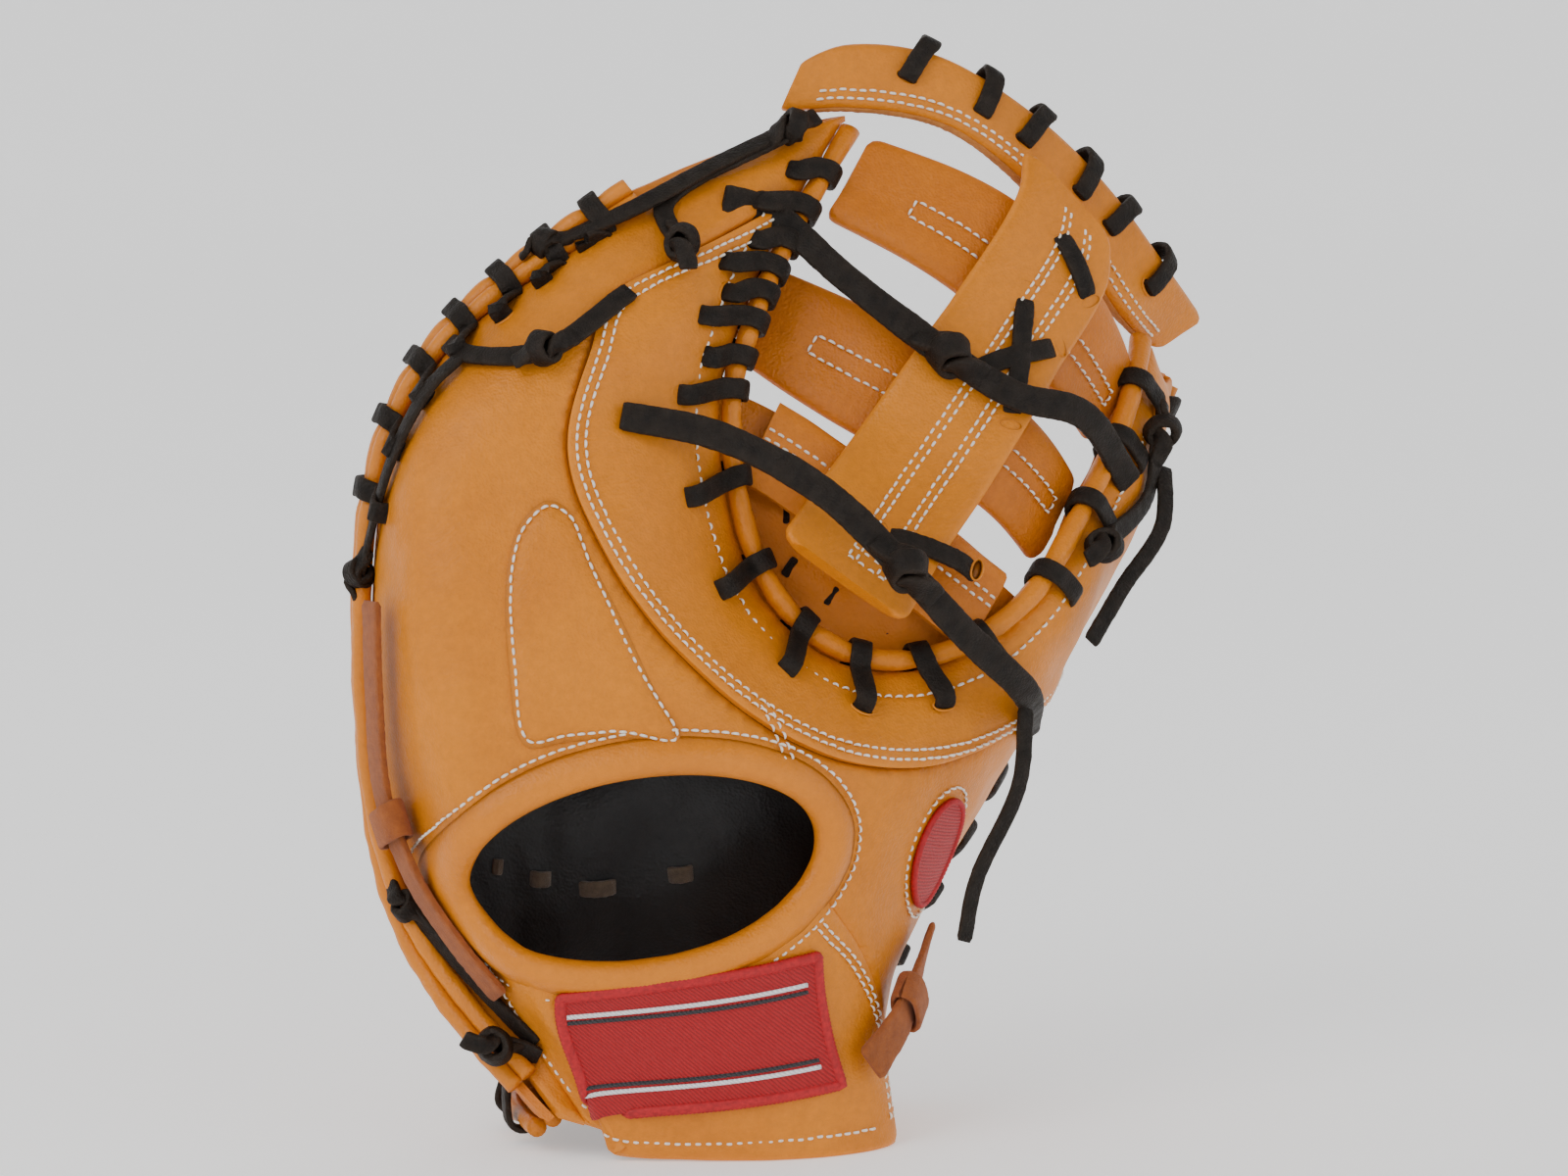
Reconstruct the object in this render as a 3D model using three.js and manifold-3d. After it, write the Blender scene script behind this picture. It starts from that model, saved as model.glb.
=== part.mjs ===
// A left-hand first baseman mitt that stands on its heel. Millimetres, +Z up.
// The back of the hand faces -Y, the pocket faces +Y and the thumb is on the +X side.
import * as THREE from 'three';
import { mergeVertices } from 'three/addons/utils/BufferGeometryUtils.js';
import Module from 'manifold-3d';

const wasm = await Module();
wasm.setup();

// Overall sizes of the mitt's form.
const mittWidth = 250;
const mittDepth = 200;
const mittHeight = 320;

// Leathers, and the clear space between two pieces.
const palmLeather = 2.4;
const backLeather = 2;
const linerLeather = 1.6;
const trimLeather = 1.5;
const clearance = 0.4;
const linerDepth = 3;
const rimSpread = 0.28;
const edgeRound = 34;
const strapDrop = 9.3;
const standTrim = 1.2;

// Opening over the back of the hand, with its rolled edge.
const openingWidth = 107;
const openingHeight = 57;
const openingTilt = 8;
const bindingRadius = 3.6;

// Rolled edges.
const weltRadius = 2.8;
const webWeltRadius = 3.1;

// Laces.
const laceWidth = 5.4;
const laceThickness = 1.6;
const edgePitch = 20;
const webPitch = 25;
const holeInset = 10;
const knotSize = 13;

// Patches and cover pieces.
const patchWidth = 76;
const patchHeight = 40;
const patchRise = 0.12;
const patchLean = 0.2;
const ovalWidth = 25;
const ovalHeight = 36;

// Web.
const barThickness = 4.6;
const crownThickness = 6;
const postThickness = 3.6;
const footHeight = 22;

// Leather ties.
const tieWidth = 12;
const tieThickness = 2.4;
const tieKnot = 20;

// Free lace ends.
const tailWidth = 5;

// Palm face: shares of the width, depth and height at five places across the mitt, for each
// share of the way from the heel to the finger tips.
const across = ['thumbEdge', 'thumbSide', 'middle', 'fingerSide', 'fingerEdge'];
const acrossAt = [0, 0.25, 0.5, 0.75, 1];
const palmTable = [
  { along: 0, thumbEdge: [0.125, 0.185, 0.034], thumbSide: [-0.03, 0.2, 0.044],
    middle: [-0.152, 0.16, 0.048], fingerSide: [-0.24, 0.03, 0.045], fingerEdge: [-0.2, -0.21, 0.042] },
  { along: 0.2, thumbEdge: [0.168, 0.24, 0.16], thumbSide: [0.072, 0.13, 0.148],
    middle: [-0.08, 0.06, 0.155], fingerSide: [-0.24, 0.02, 0.172], fingerEdge: [-0.352, -0.08, 0.19] },
  { along: 0.4, thumbEdge: [0.28, 0.37, 0.281], thumbSide: [0.208, 0.13, 0.288],
    middle: [0.02, 0.02, 0.328], fingerSide: [-0.208, 0, 0.356], fingerEdge: [-0.404, -0.02, 0.381] },
  { along: 0.6, thumbEdge: [0.368, 0.485, 0.406], thumbSide: [0.352, 0.135, 0.469],
    middle: [0.184, 0.09, 0.581], fingerSide: [-0.064, 0.11, 0.681], fingerEdge: [-0.392, 0.02, 0.625] },
  { along: 0.8, thumbEdge: [0.464, 0.57, 0.556], thumbSide: [0.448, 0.32, 0.6],
    middle: [0.304, 0.2, 0.731], fingerSide: [0.024, 0.21, 0.8], fingerEdge: [-0.272, 0.075, 0.775] },
  { along: 1, thumbEdge: [0.536, 0.59, 0.675], thumbSide: [0.504, 0.49, 0.7],
    middle: [0.4, 0.4, 0.869], fingerSide: [0.144, 0.355, 0.928], fingerEdge: [-0.104, 0.13, 0.875] },
];

// Back of the mitt: the way it stands off the palm face, in degrees from straight back toward
// the thumb, and how far, as a share of the depth.
const backTable = [
  { along: 0, thumbEdge: [58, 0.12], thumbSide: [40, 0.41], middle: [18, 0.37],
    fingerSide: [28, 0.26], fingerEdge: [62, 0.15] },
  { along: 0.2, thumbEdge: [55, 0.1], thumbSide: [36, 0.24], middle: [14, 0.27],
    fingerSide: [8, 0.25], fingerEdge: [22, 0.18] },
  { along: 0.4, thumbEdge: [58, 0.03], thumbSide: [30, 0.105], middle: [12, 0.23],
    fingerSide: [-3, 0.25], fingerEdge: [-8, 0.21] },
  { along: 0.6, thumbEdge: [52, 0.03], thumbSide: [30, 0.075], middle: [12, 0.17],
    fingerSide: [-8, 0.21], fingerEdge: [-24, 0.2] },
  { along: 0.8, thumbEdge: [45, 0.05], thumbSide: [36, 0.09], middle: [15, 0.14],
    fingerSide: [-8, 0.18], fingerEdge: [-26, 0.17] },
  { along: 1, thumbEdge: [45, 0.05], thumbSide: [40, 0.075], middle: [15, 0.11],
    fingerSide: [-8, 0.13], fingerEdge: [-26, 0.13] },
];

// Web: where its edges cross four lines from the finger side to the thumb side.
const webLines = ['finger', 'postFinger', 'postThumb', 'thumb'];
const webTable = [
  { edge: 'footTop', finger: [-0.004, 0.125, 0.703], postFinger: [0.12, 0.11, 0.638],
    postThumb: [0.24, 0.093, 0.572], thumb: [0.352, 0.13, 0.488] },
  { edge: 'lowerBarBottom', finger: [0.016, 0.175, 0.716], postFinger: [0.152, 0.125, 0.65],
    postThumb: [0.296, 0.115, 0.588], thumb: [0.372, 0.17, 0.522] },
  { edge: 'lowerBarTop', finger: [0.064, 0.215, 0.797], postFinger: [0.232, 0.185, 0.738],
    postThumb: [0.364, 0.19, 0.662], thumb: [0.424, 0.255, 0.594] },
  { edge: 'upperBarBottom', finger: [0.124, 0.25, 0.841], postFinger: [0.276, 0.22, 0.775],
    postThumb: [0.388, 0.235, 0.688], thumb: [0.444, 0.305, 0.625] },
  { edge: 'upperBarTop', finger: [0.18, 0.325, 0.912], postFinger: [0.344, 0.295, 0.859],
    postThumb: [0.452, 0.33, 0.769], thumb: [0.5, 0.42, 0.681] },
];

// Crown: the folded band over the web, its outer fold and its lower edge.
const crownTable = [
  { outer: [0.062, 0.322, 0.975], inner: [0.118, 0.308, 0.929] },
  { outer: [0.125, 0.33, 0.998], inner: [0.175, 0.315, 0.936] },
  { outer: [0.252, 0.345, 0.99], inner: [0.262, 0.325, 0.925] },
  { outer: [0.36, 0.375, 0.94], inner: [0.346, 0.345, 0.88] },
  { outer: [0.456, 0.435, 0.868], inner: [0.42, 0.39, 0.81] },
  { outer: [0.535, 0.505, 0.785], inner: [0.472, 0.445, 0.745] },
  { outer: [0.586, 0.605, 0.728], inner: [0.522, 0.555, 0.7] },
];

// Seams on the back, as shares across and along.
const webSeam = [[0.74, 0.9], [0.828, 0.769], [0.818, 0.661], [0.803, 0.575], [0.74, 0.52],
  [0.596, 0.468], [0.437, 0.446], [0.317, 0.465], [0.209, 0.512], [0.09, 0.57], [0, 0.6]];
const handSeam = [[0.56, 0.478], [0.524, 0.456], [0.478, 0.419], [0.45, 0.38]];
const strapSeamLeft = [[0.84, 0.3], [0.879, 0.262], [0.93, 0.133], [0.965, 0]];
const strapSeamRight = [[0.45, 0.37], [0.4, 0.335], [0.313, 0.271], [0.225, 0.156], [0.19, 0]];
const ridgeOutline = [[0.77, 0.44], [0.8, 0.47], [0.825, 0.51], [0.812, 0.54], [0.781, 0.538],
  [0.729, 0.502], [0.65, 0.452], [0.655, 0.445], [0.72, 0.44]];

// Dashes of lace in the palm, from and to, as shares across and along.
const palmDashes = {
  palm_lace_foot: [[[0.325, 0.555], [0.373, 0.572]], [[0.409, 0.532], [0.436, 0.566]],
    [[0.492, 0.534], [0.563, 0.536]], [[0.578, 0.563], [0.633, 0.547]],
    [[0.642, 0.575], [0.682, 0.569]]],
  palm_lace_thumb: [[[0.228, 0.791], [0.218, 0.725]], [[0.223, 0.69], [0.23, 0.63]],
    [[0.238, 0.6], [0.262, 0.545]]],
  palm_lace_finger: [[[0.8, 0.672], [0.774, 0.7]], [[0.75, 0.706], [0.722, 0.732]],
    [[0.745, 0.834], [0.787, 0.824]], [[0.826, 0.82], [0.856, 0.785]]],
  palm_lace_heel: [[[0.297, 0.383], [0.324, 0.334]], [[0.36, 0.407], [0.395, 0.372]],
    [[0.449, 0.337], [0.523, 0.319]], [[0.387, 0.265], [0.467, 0.234]]],
};

// Post of the web: its two long edges from the crown down to the end of its flap.
const postTable = [
  { edge: 'crown', finger: [0.35, 0.325, 0.895], thumb: [0.462, 0.335, 0.812] },
  { edge: 'upperBarTop', finger: [0.344, 0.28, 0.859], thumb: [0.452, 0.31, 0.769] },
  { edge: 'upperBarBottom', finger: [0.276, 0.2, 0.775], thumb: [0.388, 0.21, 0.69] },
  { edge: 'lowerBarTop', finger: [0.24, 0.165, 0.735], thumb: [0.368, 0.165, 0.662] },
  { edge: 'lowerBarBottom', finger: [0.158, 0.1, 0.646], thumb: [0.306, 0.085, 0.586] },
  { edge: 'foot', finger: [0.118, 0.03, 0.61], thumb: [0.26, 0.02, 0.54] },
  { edge: 'flapEnd', finger: [0.064, -0.075, 0.562], thumb: [0.208, -0.08, 0.482] },
];

// Routes of the long laces over the web, between a start and an end on the back leather.
const webTies = [
  { name: 'web_tie_upper', start: [0.811, 0.906], end: [0.241, 0.787], knotAt: 3,
    route: [[0.06, 0.17, 0.85], [0.13, 0.135, 0.805], [0.2, 0.12, 0.765], [0.27, 0.105, 0.73],
      [0.36, 0.11, 0.69], [0.44, 0.16, 0.665], [0.485, 0.23, 0.645]] },
  { name: 'web_tie_lower', start: [0.772, 0.596], end: [0.15, 0.512], knotAt: 2,
    route: [[0.0, -0.09, 0.662], [0.12, -0.13, 0.615], [0.216, -0.15, 0.545], [0.29, -0.115, 0.48],
      [0.36, -0.03, 0.42]] },
];

// Laces over the back: places across, along and off it, and which of them are knots.
const backLaces = [
  { name: 'side_lace', route: [[0.985, 0.727, 3], [0.93, 0.69, 2], [0.854, 0.661, 4.5], [0.815, 0.746, 2]],
    knots: [2] },
  { name: 'tip_lace', route: [[0.791, 0.975, 4.5], [0.888, 0.922, 2.5], [0.807, 0.825, 4.5]],
    knots: [0, 2] },
  { name: 'thumb_side_lace', route: [[0.237, 0.865, 4.5], [0.2, 0.79, 2.5], [0.25, 0.697, 4.5]],
    knots: [0, 2] },
  { name: 'strap_lace', route: [[0.925, 0.085, 3], [0.945, 0.095, 6], [0.962, 0.1, 12]], knots: [2] },
];

// Free lace ends.
const tails = [
  { name: 'tail_upper', route: [[0.535, 0.34, 0.6], [0.53, 0.27, 0.55], [0.48, 0.18, 0.5],
    [0.44, 0.11, 0.455]] },
  { name: 'tail_lower', route: [[0.36, -0.024, 0.4055], [0.35, -0.09, 0.34], [0.3, -0.15, 0.26],
    [0.285, -0.17, 0.205]] },
];

// Pieces from the firmest to the softest.
const firmness = ['thumb_lace', 'finger_lace', 'heel_lace', 'web_lace', 'palm_lace', 'crown_lace',
  'side_lace', 'tip_lace', 'thumb_side_lace', 'strap_lace', 'web_tie', 'tail', 'wrist_binding',
  'thumb_welt', 'finger_welt', 'heel_welt', 'web_welt', 'pinky_tie', 'thumb_tie', 'palm_shell', 'web_foot',
  'web_post', 'web_bar',
  'strap_patch', 'thumb_patch', 'finger_back', 'wrist_strap', 'web_base', 'thumb_back', 'finger_ridge',
  'web_crown', 'palm_liner'];

// Holes of the crown's lace, as shares along it.
const crownHoles = [0.22, 0.34, 0.46, 0.58, 0.7, 0.82];

// Weights of the values at the stations in a natural cubic spline.
function splineWeights(stations) {
  const n = stations.length;
  const h = stations.slice(1).map((s, i) => s - stations[i]);
  const rows = stations.map((s, i) => {
    const left = new Array(n).fill(0);
    const right = new Array(n).fill(0);
    if (i === 0 || i === n - 1) {
      left[i] = 1;
      return [...left, ...right];
    }
    left[i - 1] = h[i - 1];
    left[i] = 2 * (h[i - 1] + h[i]);
    left[i + 1] = h[i];
    right[i - 1] = 6 / h[i - 1];
    right[i] = -6 / h[i - 1] - 6 / h[i];
    right[i + 1] = 6 / h[i];
    return [...left, ...right];
  });
  for (let c = 0; c < n; c += 1) {
    const pivot = rows[c][c];
    rows[c] = rows[c].map((x) => x / pivot);
    for (let r = 0; r < n; r += 1) {
      if (r === c) continue;
      const k = rows[r][c];
      rows[r] = rows[r].map((x, i) => x - k * rows[c][i]);
    }
  }
  return (value) => {
    const x = Math.min(Math.max(value, stations[0]), stations[n - 1]);
    let i = 0;
    while (i < n - 2 && x > stations[i + 1]) i += 1;
    const a = (stations[i + 1] - x) / h[i];
    const b = 1 - a;
    const ka = ((a ** 3 - a) * h[i] * h[i]) / 6;
    const kb = ((b ** 3 - b) * h[i] * h[i]) / 6;
    const w = rows[0].slice(n).map((_, j) => ka * rows[i][n + j] + kb * rows[i + 1][n + j]);
    w[i] += a;
    w[i + 1] += b;
    return w;
  };
}

const vec = (x, y, z) => new THREE.Vector3(x, y, z);
const fromShares = ([x, y, z]) => vec(x * mittWidth, y * mittDepth, z * mittHeight);
const offset = (p, n, d) => p.clone().addScaledVector(n, d);
const smoothly = (points, closed = false) => new THREE.CatmullRomCurve3(points, closed, 'centripetal');

const acrossWeights = splineWeights(acrossAt);
const alongWeights = splineWeights(palmTable.map((row) => row.along));
const palmRows = palmTable.map((row) => across.map((name) => fromShares(row[name])));
const turnRows = backTable.map((row) => across.map((name) => row[name][0]));
const riseRows = backTable.map((row) => across.map((name) => row[name][1] * mittDepth));

function palm(u, v) {
  const wu = acrossWeights(u);
  const wv = alongWeights(v);
  const p = vec(0, 0, 0);
  palmRows.forEach((row, i) => row.forEach((q, j) => p.addScaledVector(q, wv[i] * wu[j])));
  return p;
}

function blend(rows, u, v) {
  const wu = acrossWeights(u);
  const wv = alongWeights(v);
  let sum = 0;
  rows.forEach((row, i) => row.forEach((q, j) => {
    sum += q * wv[i] * wu[j];
  }));
  return sum;
}

function tangents(surface, u, v) {
  const step = 0.002;
  const [u0, u1] = [Math.max(u - step, 0), Math.min(u + step, 1)];
  const [v0, v1] = [Math.max(v - step, 0), Math.min(v + step, 1)];
  return {
    du: surface(u1, v).sub(surface(u0, v)).divideScalar(u1 - u0),
    dv: surface(u, v1).sub(surface(u, v0)).divideScalar(v1 - v0),
  };
}

// Toward the pocket.
function palmNormal(u, v) {
  const { du, dv } = tangents(palm, u, v);
  return du.cross(dv).normalize();
}

// The web notch between the thumb and the fingers.
const notchThumb = 0.27;
const notchTop = 0.66;
const notchBottom = 0.5;
const notchMiddle = 0.48;
const footLine = 0.615;
const notchFinger = (v) => 0.69 + 0.06 * Math.min(Math.max((v - 0.5) / 0.5, 0), 1);
function notchFloor(u) {
  const wide = u < notchMiddle ? notchMiddle - notchThumb : notchFinger(notchTop) - notchMiddle;
  const w = Math.min(Math.abs(u - notchMiddle) / wide, 1);
  return notchBottom + (notchTop - notchBottom) * (1 - Math.sqrt(1 - w * w));
}

const spread = (count, make) => Array.from({ length: count + 1 }, (_, i) => make(i / count));
const thumbEdgeUv = spread(48, (t) => [0, t]);
const thumbTipUv = spread(12, (t) => [notchThumb * t, 1]);
const notchUv = [
  ...spread(16, (t) => [notchThumb, 1 - (1 - notchTop) * t]).slice(0, -1),
  ...spread(32, (t) => {
    const u = notchThumb + ((notchFinger(notchTop) - notchThumb) * (1 - Math.cos(Math.PI * t))) / 2;
    return [u, notchFloor(u)];
  }),
  ...spread(16, (t) => [notchFinger(notchTop + (1 - notchTop) * t), notchTop + (1 - notchTop) * t]).slice(1),
];
const fingerTipUv = spread(12, (t) => [notchFinger(1) + (1 - notchFinger(1)) * t, 1]);
const fingerEdgeUv = spread(48, (t) => [1, 1 - t]);
const heelUv = spread(48, (t) => [1 - t, 0]);
const rims = [thumbEdgeUv, thumbTipUv, fingerTipUv, fingerEdgeUv]
  .map((uv) => uv.map(([u, v]) => palm(u, v)));
const notchRim = notchUv.map(([u, v]) => palm(u, v));

function distanceTo(line, p) {
  let best = Infinity;
  const segment = new THREE.Line3();
  const near = vec(0, 0, 0);
  for (let i = 1; i < line.length; i += 1) {
    segment.set(line[i - 1], line[i]).closestPointToPoint(p, true, near);
    best = Math.min(best, near.distanceToSquared(p));
  }
  return Math.max(Math.sqrt(best), 1e-4);
}

// 0 on the rims, rounding over to 1 inside them; the notch's rim keeps a part of it.
function swell(p) {
  const rounded = (d) => 1 - (1 - Math.min(d / edgeRound, 1)) ** 2;
  const sides = rims.reduce((sum, line) => sum + distanceTo(line, p) ** -2.5, 0);
  const all = sides + distanceTo(notchRim, p) ** -2.5;
  return (1 - rimSpread) * rounded(all ** -0.4) + rimSpread * rounded(sides ** -0.4);
}

const rimDepth = palmLeather + backLeather + 2 * clearance;
function back(u, v) {
  const p = palm(u, v);
  const lift = swell(p);
  const turn = THREE.MathUtils.degToRad(blend(turnRows, u, v));
  const way = vec(Math.sin(turn), -Math.cos(turn), 0);
  const drop = strapDrop * lift * Math.max(0, 1 - v / 0.25) ** 2;
  p.addScaledVector(palmNormal(u, v), -rimDepth);
  p.addScaledVector(way, blend(riseRows, u, v) * lift);
  p.z -= drop;
  return p;
}

function backNormal(u, v) {
  const { du, dv } = tangents(back, u, v);
  return dv.cross(du).normalize();
}

const onBack = (u, v, lift) => offset(back(u, v), backNormal(u, v), lift);
const onPalm = (u, v, lift) => offset(palm(u, v), palmNormal(u, v), lift);

// The place on the back that lies x to the side of and y above an anchor, seen square on.
function backChart(u0, v0) {
  const start = back(u0, v0);
  const n = backNormal(u0, v0);
  const ax = vec(0, 0, 1).cross(n).normalize();
  const ay = n.clone().cross(ax);
  return (x, y) => {
    let [u, v] = [u0, v0];
    for (let i = 0; i < 14; i += 1) {
      const k = Math.min((i + 1) / 5, 1);
      const gap = back(u, v).sub(start);
      const [ex, ey] = [k * x - gap.dot(ax), k * y - gap.dot(ay)];
      const { du, dv } = tangents(back, u, v);
      const [a, b, c, d] = [du.dot(ax), dv.dot(ax), du.dot(ay), dv.dot(ay)];
      const det = a * d - b * c;
      u = Math.min(Math.max(u + (d * ex - b * ey) / det, 0.01), 0.99);
      v = Math.min(Math.max(v + (a * ey - c * ex) / det, 0.004), 0.99);
    }
    return [u, v];
  };
}

// The same for a point of the web: a from the finger side to the thumb side, b from the foot up.
const webAcross = splineWeights([0, 1 / 3, 2 / 3, 1]);
const webAlong = splineWeights(webTable.map((_, i) => i));
const webRows = webTable.map((row) => webLines.map((name) => fromShares(row[name])));
function web(a, b) {
  const wa = webAcross(a);
  const wb = webAlong(b);
  const p = vec(0, 0, 0);
  webRows.forEach((row, i) => row.forEach((q, j) => p.addScaledVector(q, wb[i] * wa[j])));
  return p;
}
function webNormal(a, b) {
  const step = 0.01;
  const da = web(Math.min(a + step, 1), b).sub(web(Math.max(a - step, 0), b));
  const db = web(a, Math.min(b + step, 4)).sub(web(a, Math.max(b - step, 0)));
  return db.cross(da).normalize();
}

function solidFrom(points, faces) {
  const at = (i) => points[i];
  let volume = 0;
  faces.forEach(([a, b, c]) => {
    volume += at(a).dot(at(b).clone().cross(at(c)));
  });
  const turned = volume < 0 ? faces.map(([a, b, c]) => [a, c, b]) : faces;
  const geometry = new THREE.BufferGeometry();
  const flat = points.flatMap((p) => [p.x, p.y, p.z]);
  geometry.setAttribute('position', new THREE.Float32BufferAttribute(flat, 3));
  geometry.setIndex(turned.flat());
  return toSolid(geometry);
}

function toSolid(geometry) {
  const bare = geometry.clone();
  bare.deleteAttribute('normal');
  bare.deleteAttribute('uv');
  const merged = mergeVertices(bare, 1e-4);
  return new wasm.Manifold(new wasm.Mesh({
    numProp: 3,
    vertProperties: merged.attributes.position.array,
    triVerts: new Uint32Array(merged.index.array),
  }));
}

// A closed wall over a net of places, between two faces.
function wall(net, top, bottom) {
  const n = net.places.length;
  const points = [...net.places.map((q) => top(...q)), ...net.places.map((q) => bottom(...q))];
  const faces = [];
  const sides = new Map();
  const addTriangle = (a, b, c) => {
    faces.push([a, b, c], [c + n, b + n, a + n]);
    [[a, b], [b, c], [c, a]].forEach(([s, e]) => {
      if (!sides.delete(`${e},${s}`)) sides.set(`${s},${e}`, [s, e]);
    });
  };
  netTriangles(net, top).forEach((cell) => addTriangle(...cell));
  sides.forEach(([s, e]) => faces.push([e, s, s + n], [e, s + n, e + n]));
  return solidFrom(points, faces);
}

function sheetNet(columns, rows, place) {
  const places = [];
  const cells = [];
  for (let r = 0; r <= rows; r += 1) {
    for (let c = 0; c <= columns; c += 1) places.push(place(c / columns, r / rows));
  }
  for (let r = 0; r < rows; r += 1) {
    for (let c = 0; c < columns; c += 1) {
      const a = r * (columns + 1) + c;
      cells.push([a, a + 1, a + columns + 2, a + columns + 1]);
    }
  }
  return { places, cells };
}

// A net inside a closed outline, in rings round its middle.
function discNet(outline, rings) {
  const middle = [0, 1].map((k) => outline.reduce((sum, q) => sum + q[k], 0) / outline.length);
  const count = outline.length;
  const places = [middle];
  const cells = [];
  for (let r = 1; r <= rings; r += 1) {
    outline.forEach((q) => places.push([0, 1].map((k) => middle[k] + ((q[k] - middle[k]) * r) / rings)));
  }
  for (let i = 0; i < count; i += 1) {
    const next = (i + 1) % count;
    cells.push([0, 1 + i, 1 + next]);
    for (let r = 1; r < rings; r += 1) {
      const [inner, outer] = [1 + (r - 1) * count, 1 + r * count];
      cells.push([inner + i, outer + i, outer + next, inner + next]);
    }
  }
  return { places, cells };
}

// The mitt's whole face, with the notch left out above the given floor. Rows keep the same
// places at both sides of the notch, so two nets lie flat on each other there.
const sideRows = [0, 0.11, 0.22, 0.33, 0.44, 0.55, notchTop, 0.745, 0.83, 0.915, 1];
const notchRow = sideRows.indexOf(notchTop);
const sideColumns = { thumb: 5, middle: 6, finger: 6 };
const columnCount = sideColumns.thumb + sideColumns.middle + sideColumns.finger;
function column(j, v) {
  const { thumb, middle, finger } = sideColumns;
  if (j <= thumb) return notchThumb * (j / thumb) ** 1.35;
  const side = notchFinger(v);
  if (j <= thumb + middle) return notchThumb + ((side - notchThumb) * (j - thumb)) / middle;
  return 1 - (1 - side) * (1 - (j - thumb - middle) / finger) ** 1.35;
}
function mittNet(floorOf) {
  const { thumb, middle } = sideColumns;
  const total = columnCount;
  const places = [];
  const cells = [];
  const id = new Map();
  for (let j = 0; j <= total; j += 1) {
    const open = j > thumb && j < thumb + middle;
    const top = open ? floorOf(column(j, notchTop)) : notchTop;
    sideRows.forEach((row, r) => {
      if (open && r > notchRow) return;
      const v = r <= notchRow ? (row * top) / notchTop : row;
      id.set(`${j},${r}`, places.length);
      places.push([column(j, v), v]);
    });
  }
  for (let j = 0; j < total; j += 1) {
    const tall = j < thumb || j >= thumb + middle;
    for (let r = 0; r < (tall ? sideRows.length - 1 : notchRow); r += 1) {
      cells.push([[j, r], [j + 1, r], [j + 1, r + 1], [j, r + 1]].map((q) => id.get(q.join())));
    }
  }
  return { places, cells };
}

// The flat triangles of a net on a surface, with each cell cut along its shorter diagonal.
function netTriangles(net, surface) {
  const at = net.places.map((q) => surface(...q));
  return net.cells.flatMap((cell) => {
    if (cell.length === 3) return [cell];
    const [a, b, c, d] = cell;
    return at[a].distanceTo(at[c]) <= at[b].distanceTo(at[d])
      ? [[a, b, c], [a, c, d]]
      : [[a, b, d], [b, c, d]];
  });
}

// The place on those flat triangles at (u, v).
function flatSurface(net, surface, cutBy = surface) {
  const at = net.places.map((q) => surface(...q));
  const triangles = netTriangles(net, cutBy);
  const shares = (t, u, v) => {
    const [[ax, ay], [bx, by], [cx, cy]] = t.map((i) => net.places[i]);
    const det = (bx - ax) * (cy - ay) - (cx - ax) * (by - ay);
    const s = ((u - ax) * (cy - ay) - (cx - ax) * (v - ay)) / det;
    const r = ((bx - ax) * (v - ay) - (u - ax) * (by - ay)) / det;
    return [1 - s - r, s, r];
  };
  return (u, v) => {
    let [best, w] = [null, [-Infinity]];
    triangles.forEach((t) => {
      const k = shares(t, u, v);
      if (Math.min(...k) > Math.min(...w)) [best, w] = [t, k];
    });
    const p = vec(0, 0, 0);
    best.forEach((i, k) => p.addScaledVector(at[i], w[k]));
    return p;
  };
}

// A body swept through stations, each a ring of points.
function sweep(rings, closed = false) {
  const count = rings[0].length;
  const points = rings.flat();
  const faces = [];
  const last = closed ? rings.length : rings.length - 1;
  for (let i = 0; i < last; i += 1) {
    const [here, next] = [i * count, ((i + 1) % rings.length) * count];
    for (let k = 0; k < count; k += 1) {
      const j = (k + 1) % count;
      faces.push([here + k, here + j, next + j], [here + k, next + j, next + k]);
    }
  }
  if (!closed) {
    for (let k = 1; k < count - 1; k += 1) {
      faces.push([0, k + 1, k]);
      const end = (rings.length - 1) * count;
      faces.push([end, end + k, end + k + 1]);
    }
  }
  return solidFrom(points, faces);
}

// A flat lace through points, each with the direction of its width.
function strap(stations, width, thickness) {
  const rings = stations.map(({ p, w }, i) => {
    const from = stations[Math.max(i - 1, 0)].p;
    const to = stations[Math.min(i + 1, stations.length - 1)].p;
    const before = p.clone().sub(from);
    const after = to.clone().sub(p);
    if (i === 0) before.copy(after);
    if (i === stations.length - 1) after.copy(before);
    const way = before.clone().normalize().add(after.clone().normalize()).normalize();
    const flat = way.clone().cross(w).normalize();
    const bend = Math.max(Math.abs(flat.dot(after.clone().cross(w).normalize())), 0.6);
    const [a, b] = [width / 2, thickness / 2 / bend];
    return [[-1, -1], [1, -1], [1, 1], [-1, 1]]
      .map(([s, t]) => p.clone().addScaledVector(w, s * a).addScaledVector(flat, t * b));
  });
  return sweep(rings);
}

// A knot: a squat rounded block turned to lie along a direction.
function knot(centre, along, size) {
  const shape = new THREE.IcosahedronGeometry(size / 2, 1);
  shape.scale(1.15, 0.85, 0.8);
  shape.applyQuaternion(new THREE.Quaternion().setFromUnitVectors(vec(1, 0, 0), along.clone().normalize()));
  shape.translate(centre.x, centre.y, centre.z);
  return toSolid(shape);
}

const palmNet = mittNet(() => footLine);
const backNet = mittNet(notchFloor);
const palmFlat = flatSurface(palmNet, palm);
const backFlat = flatSurface(backNet, back);

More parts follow.
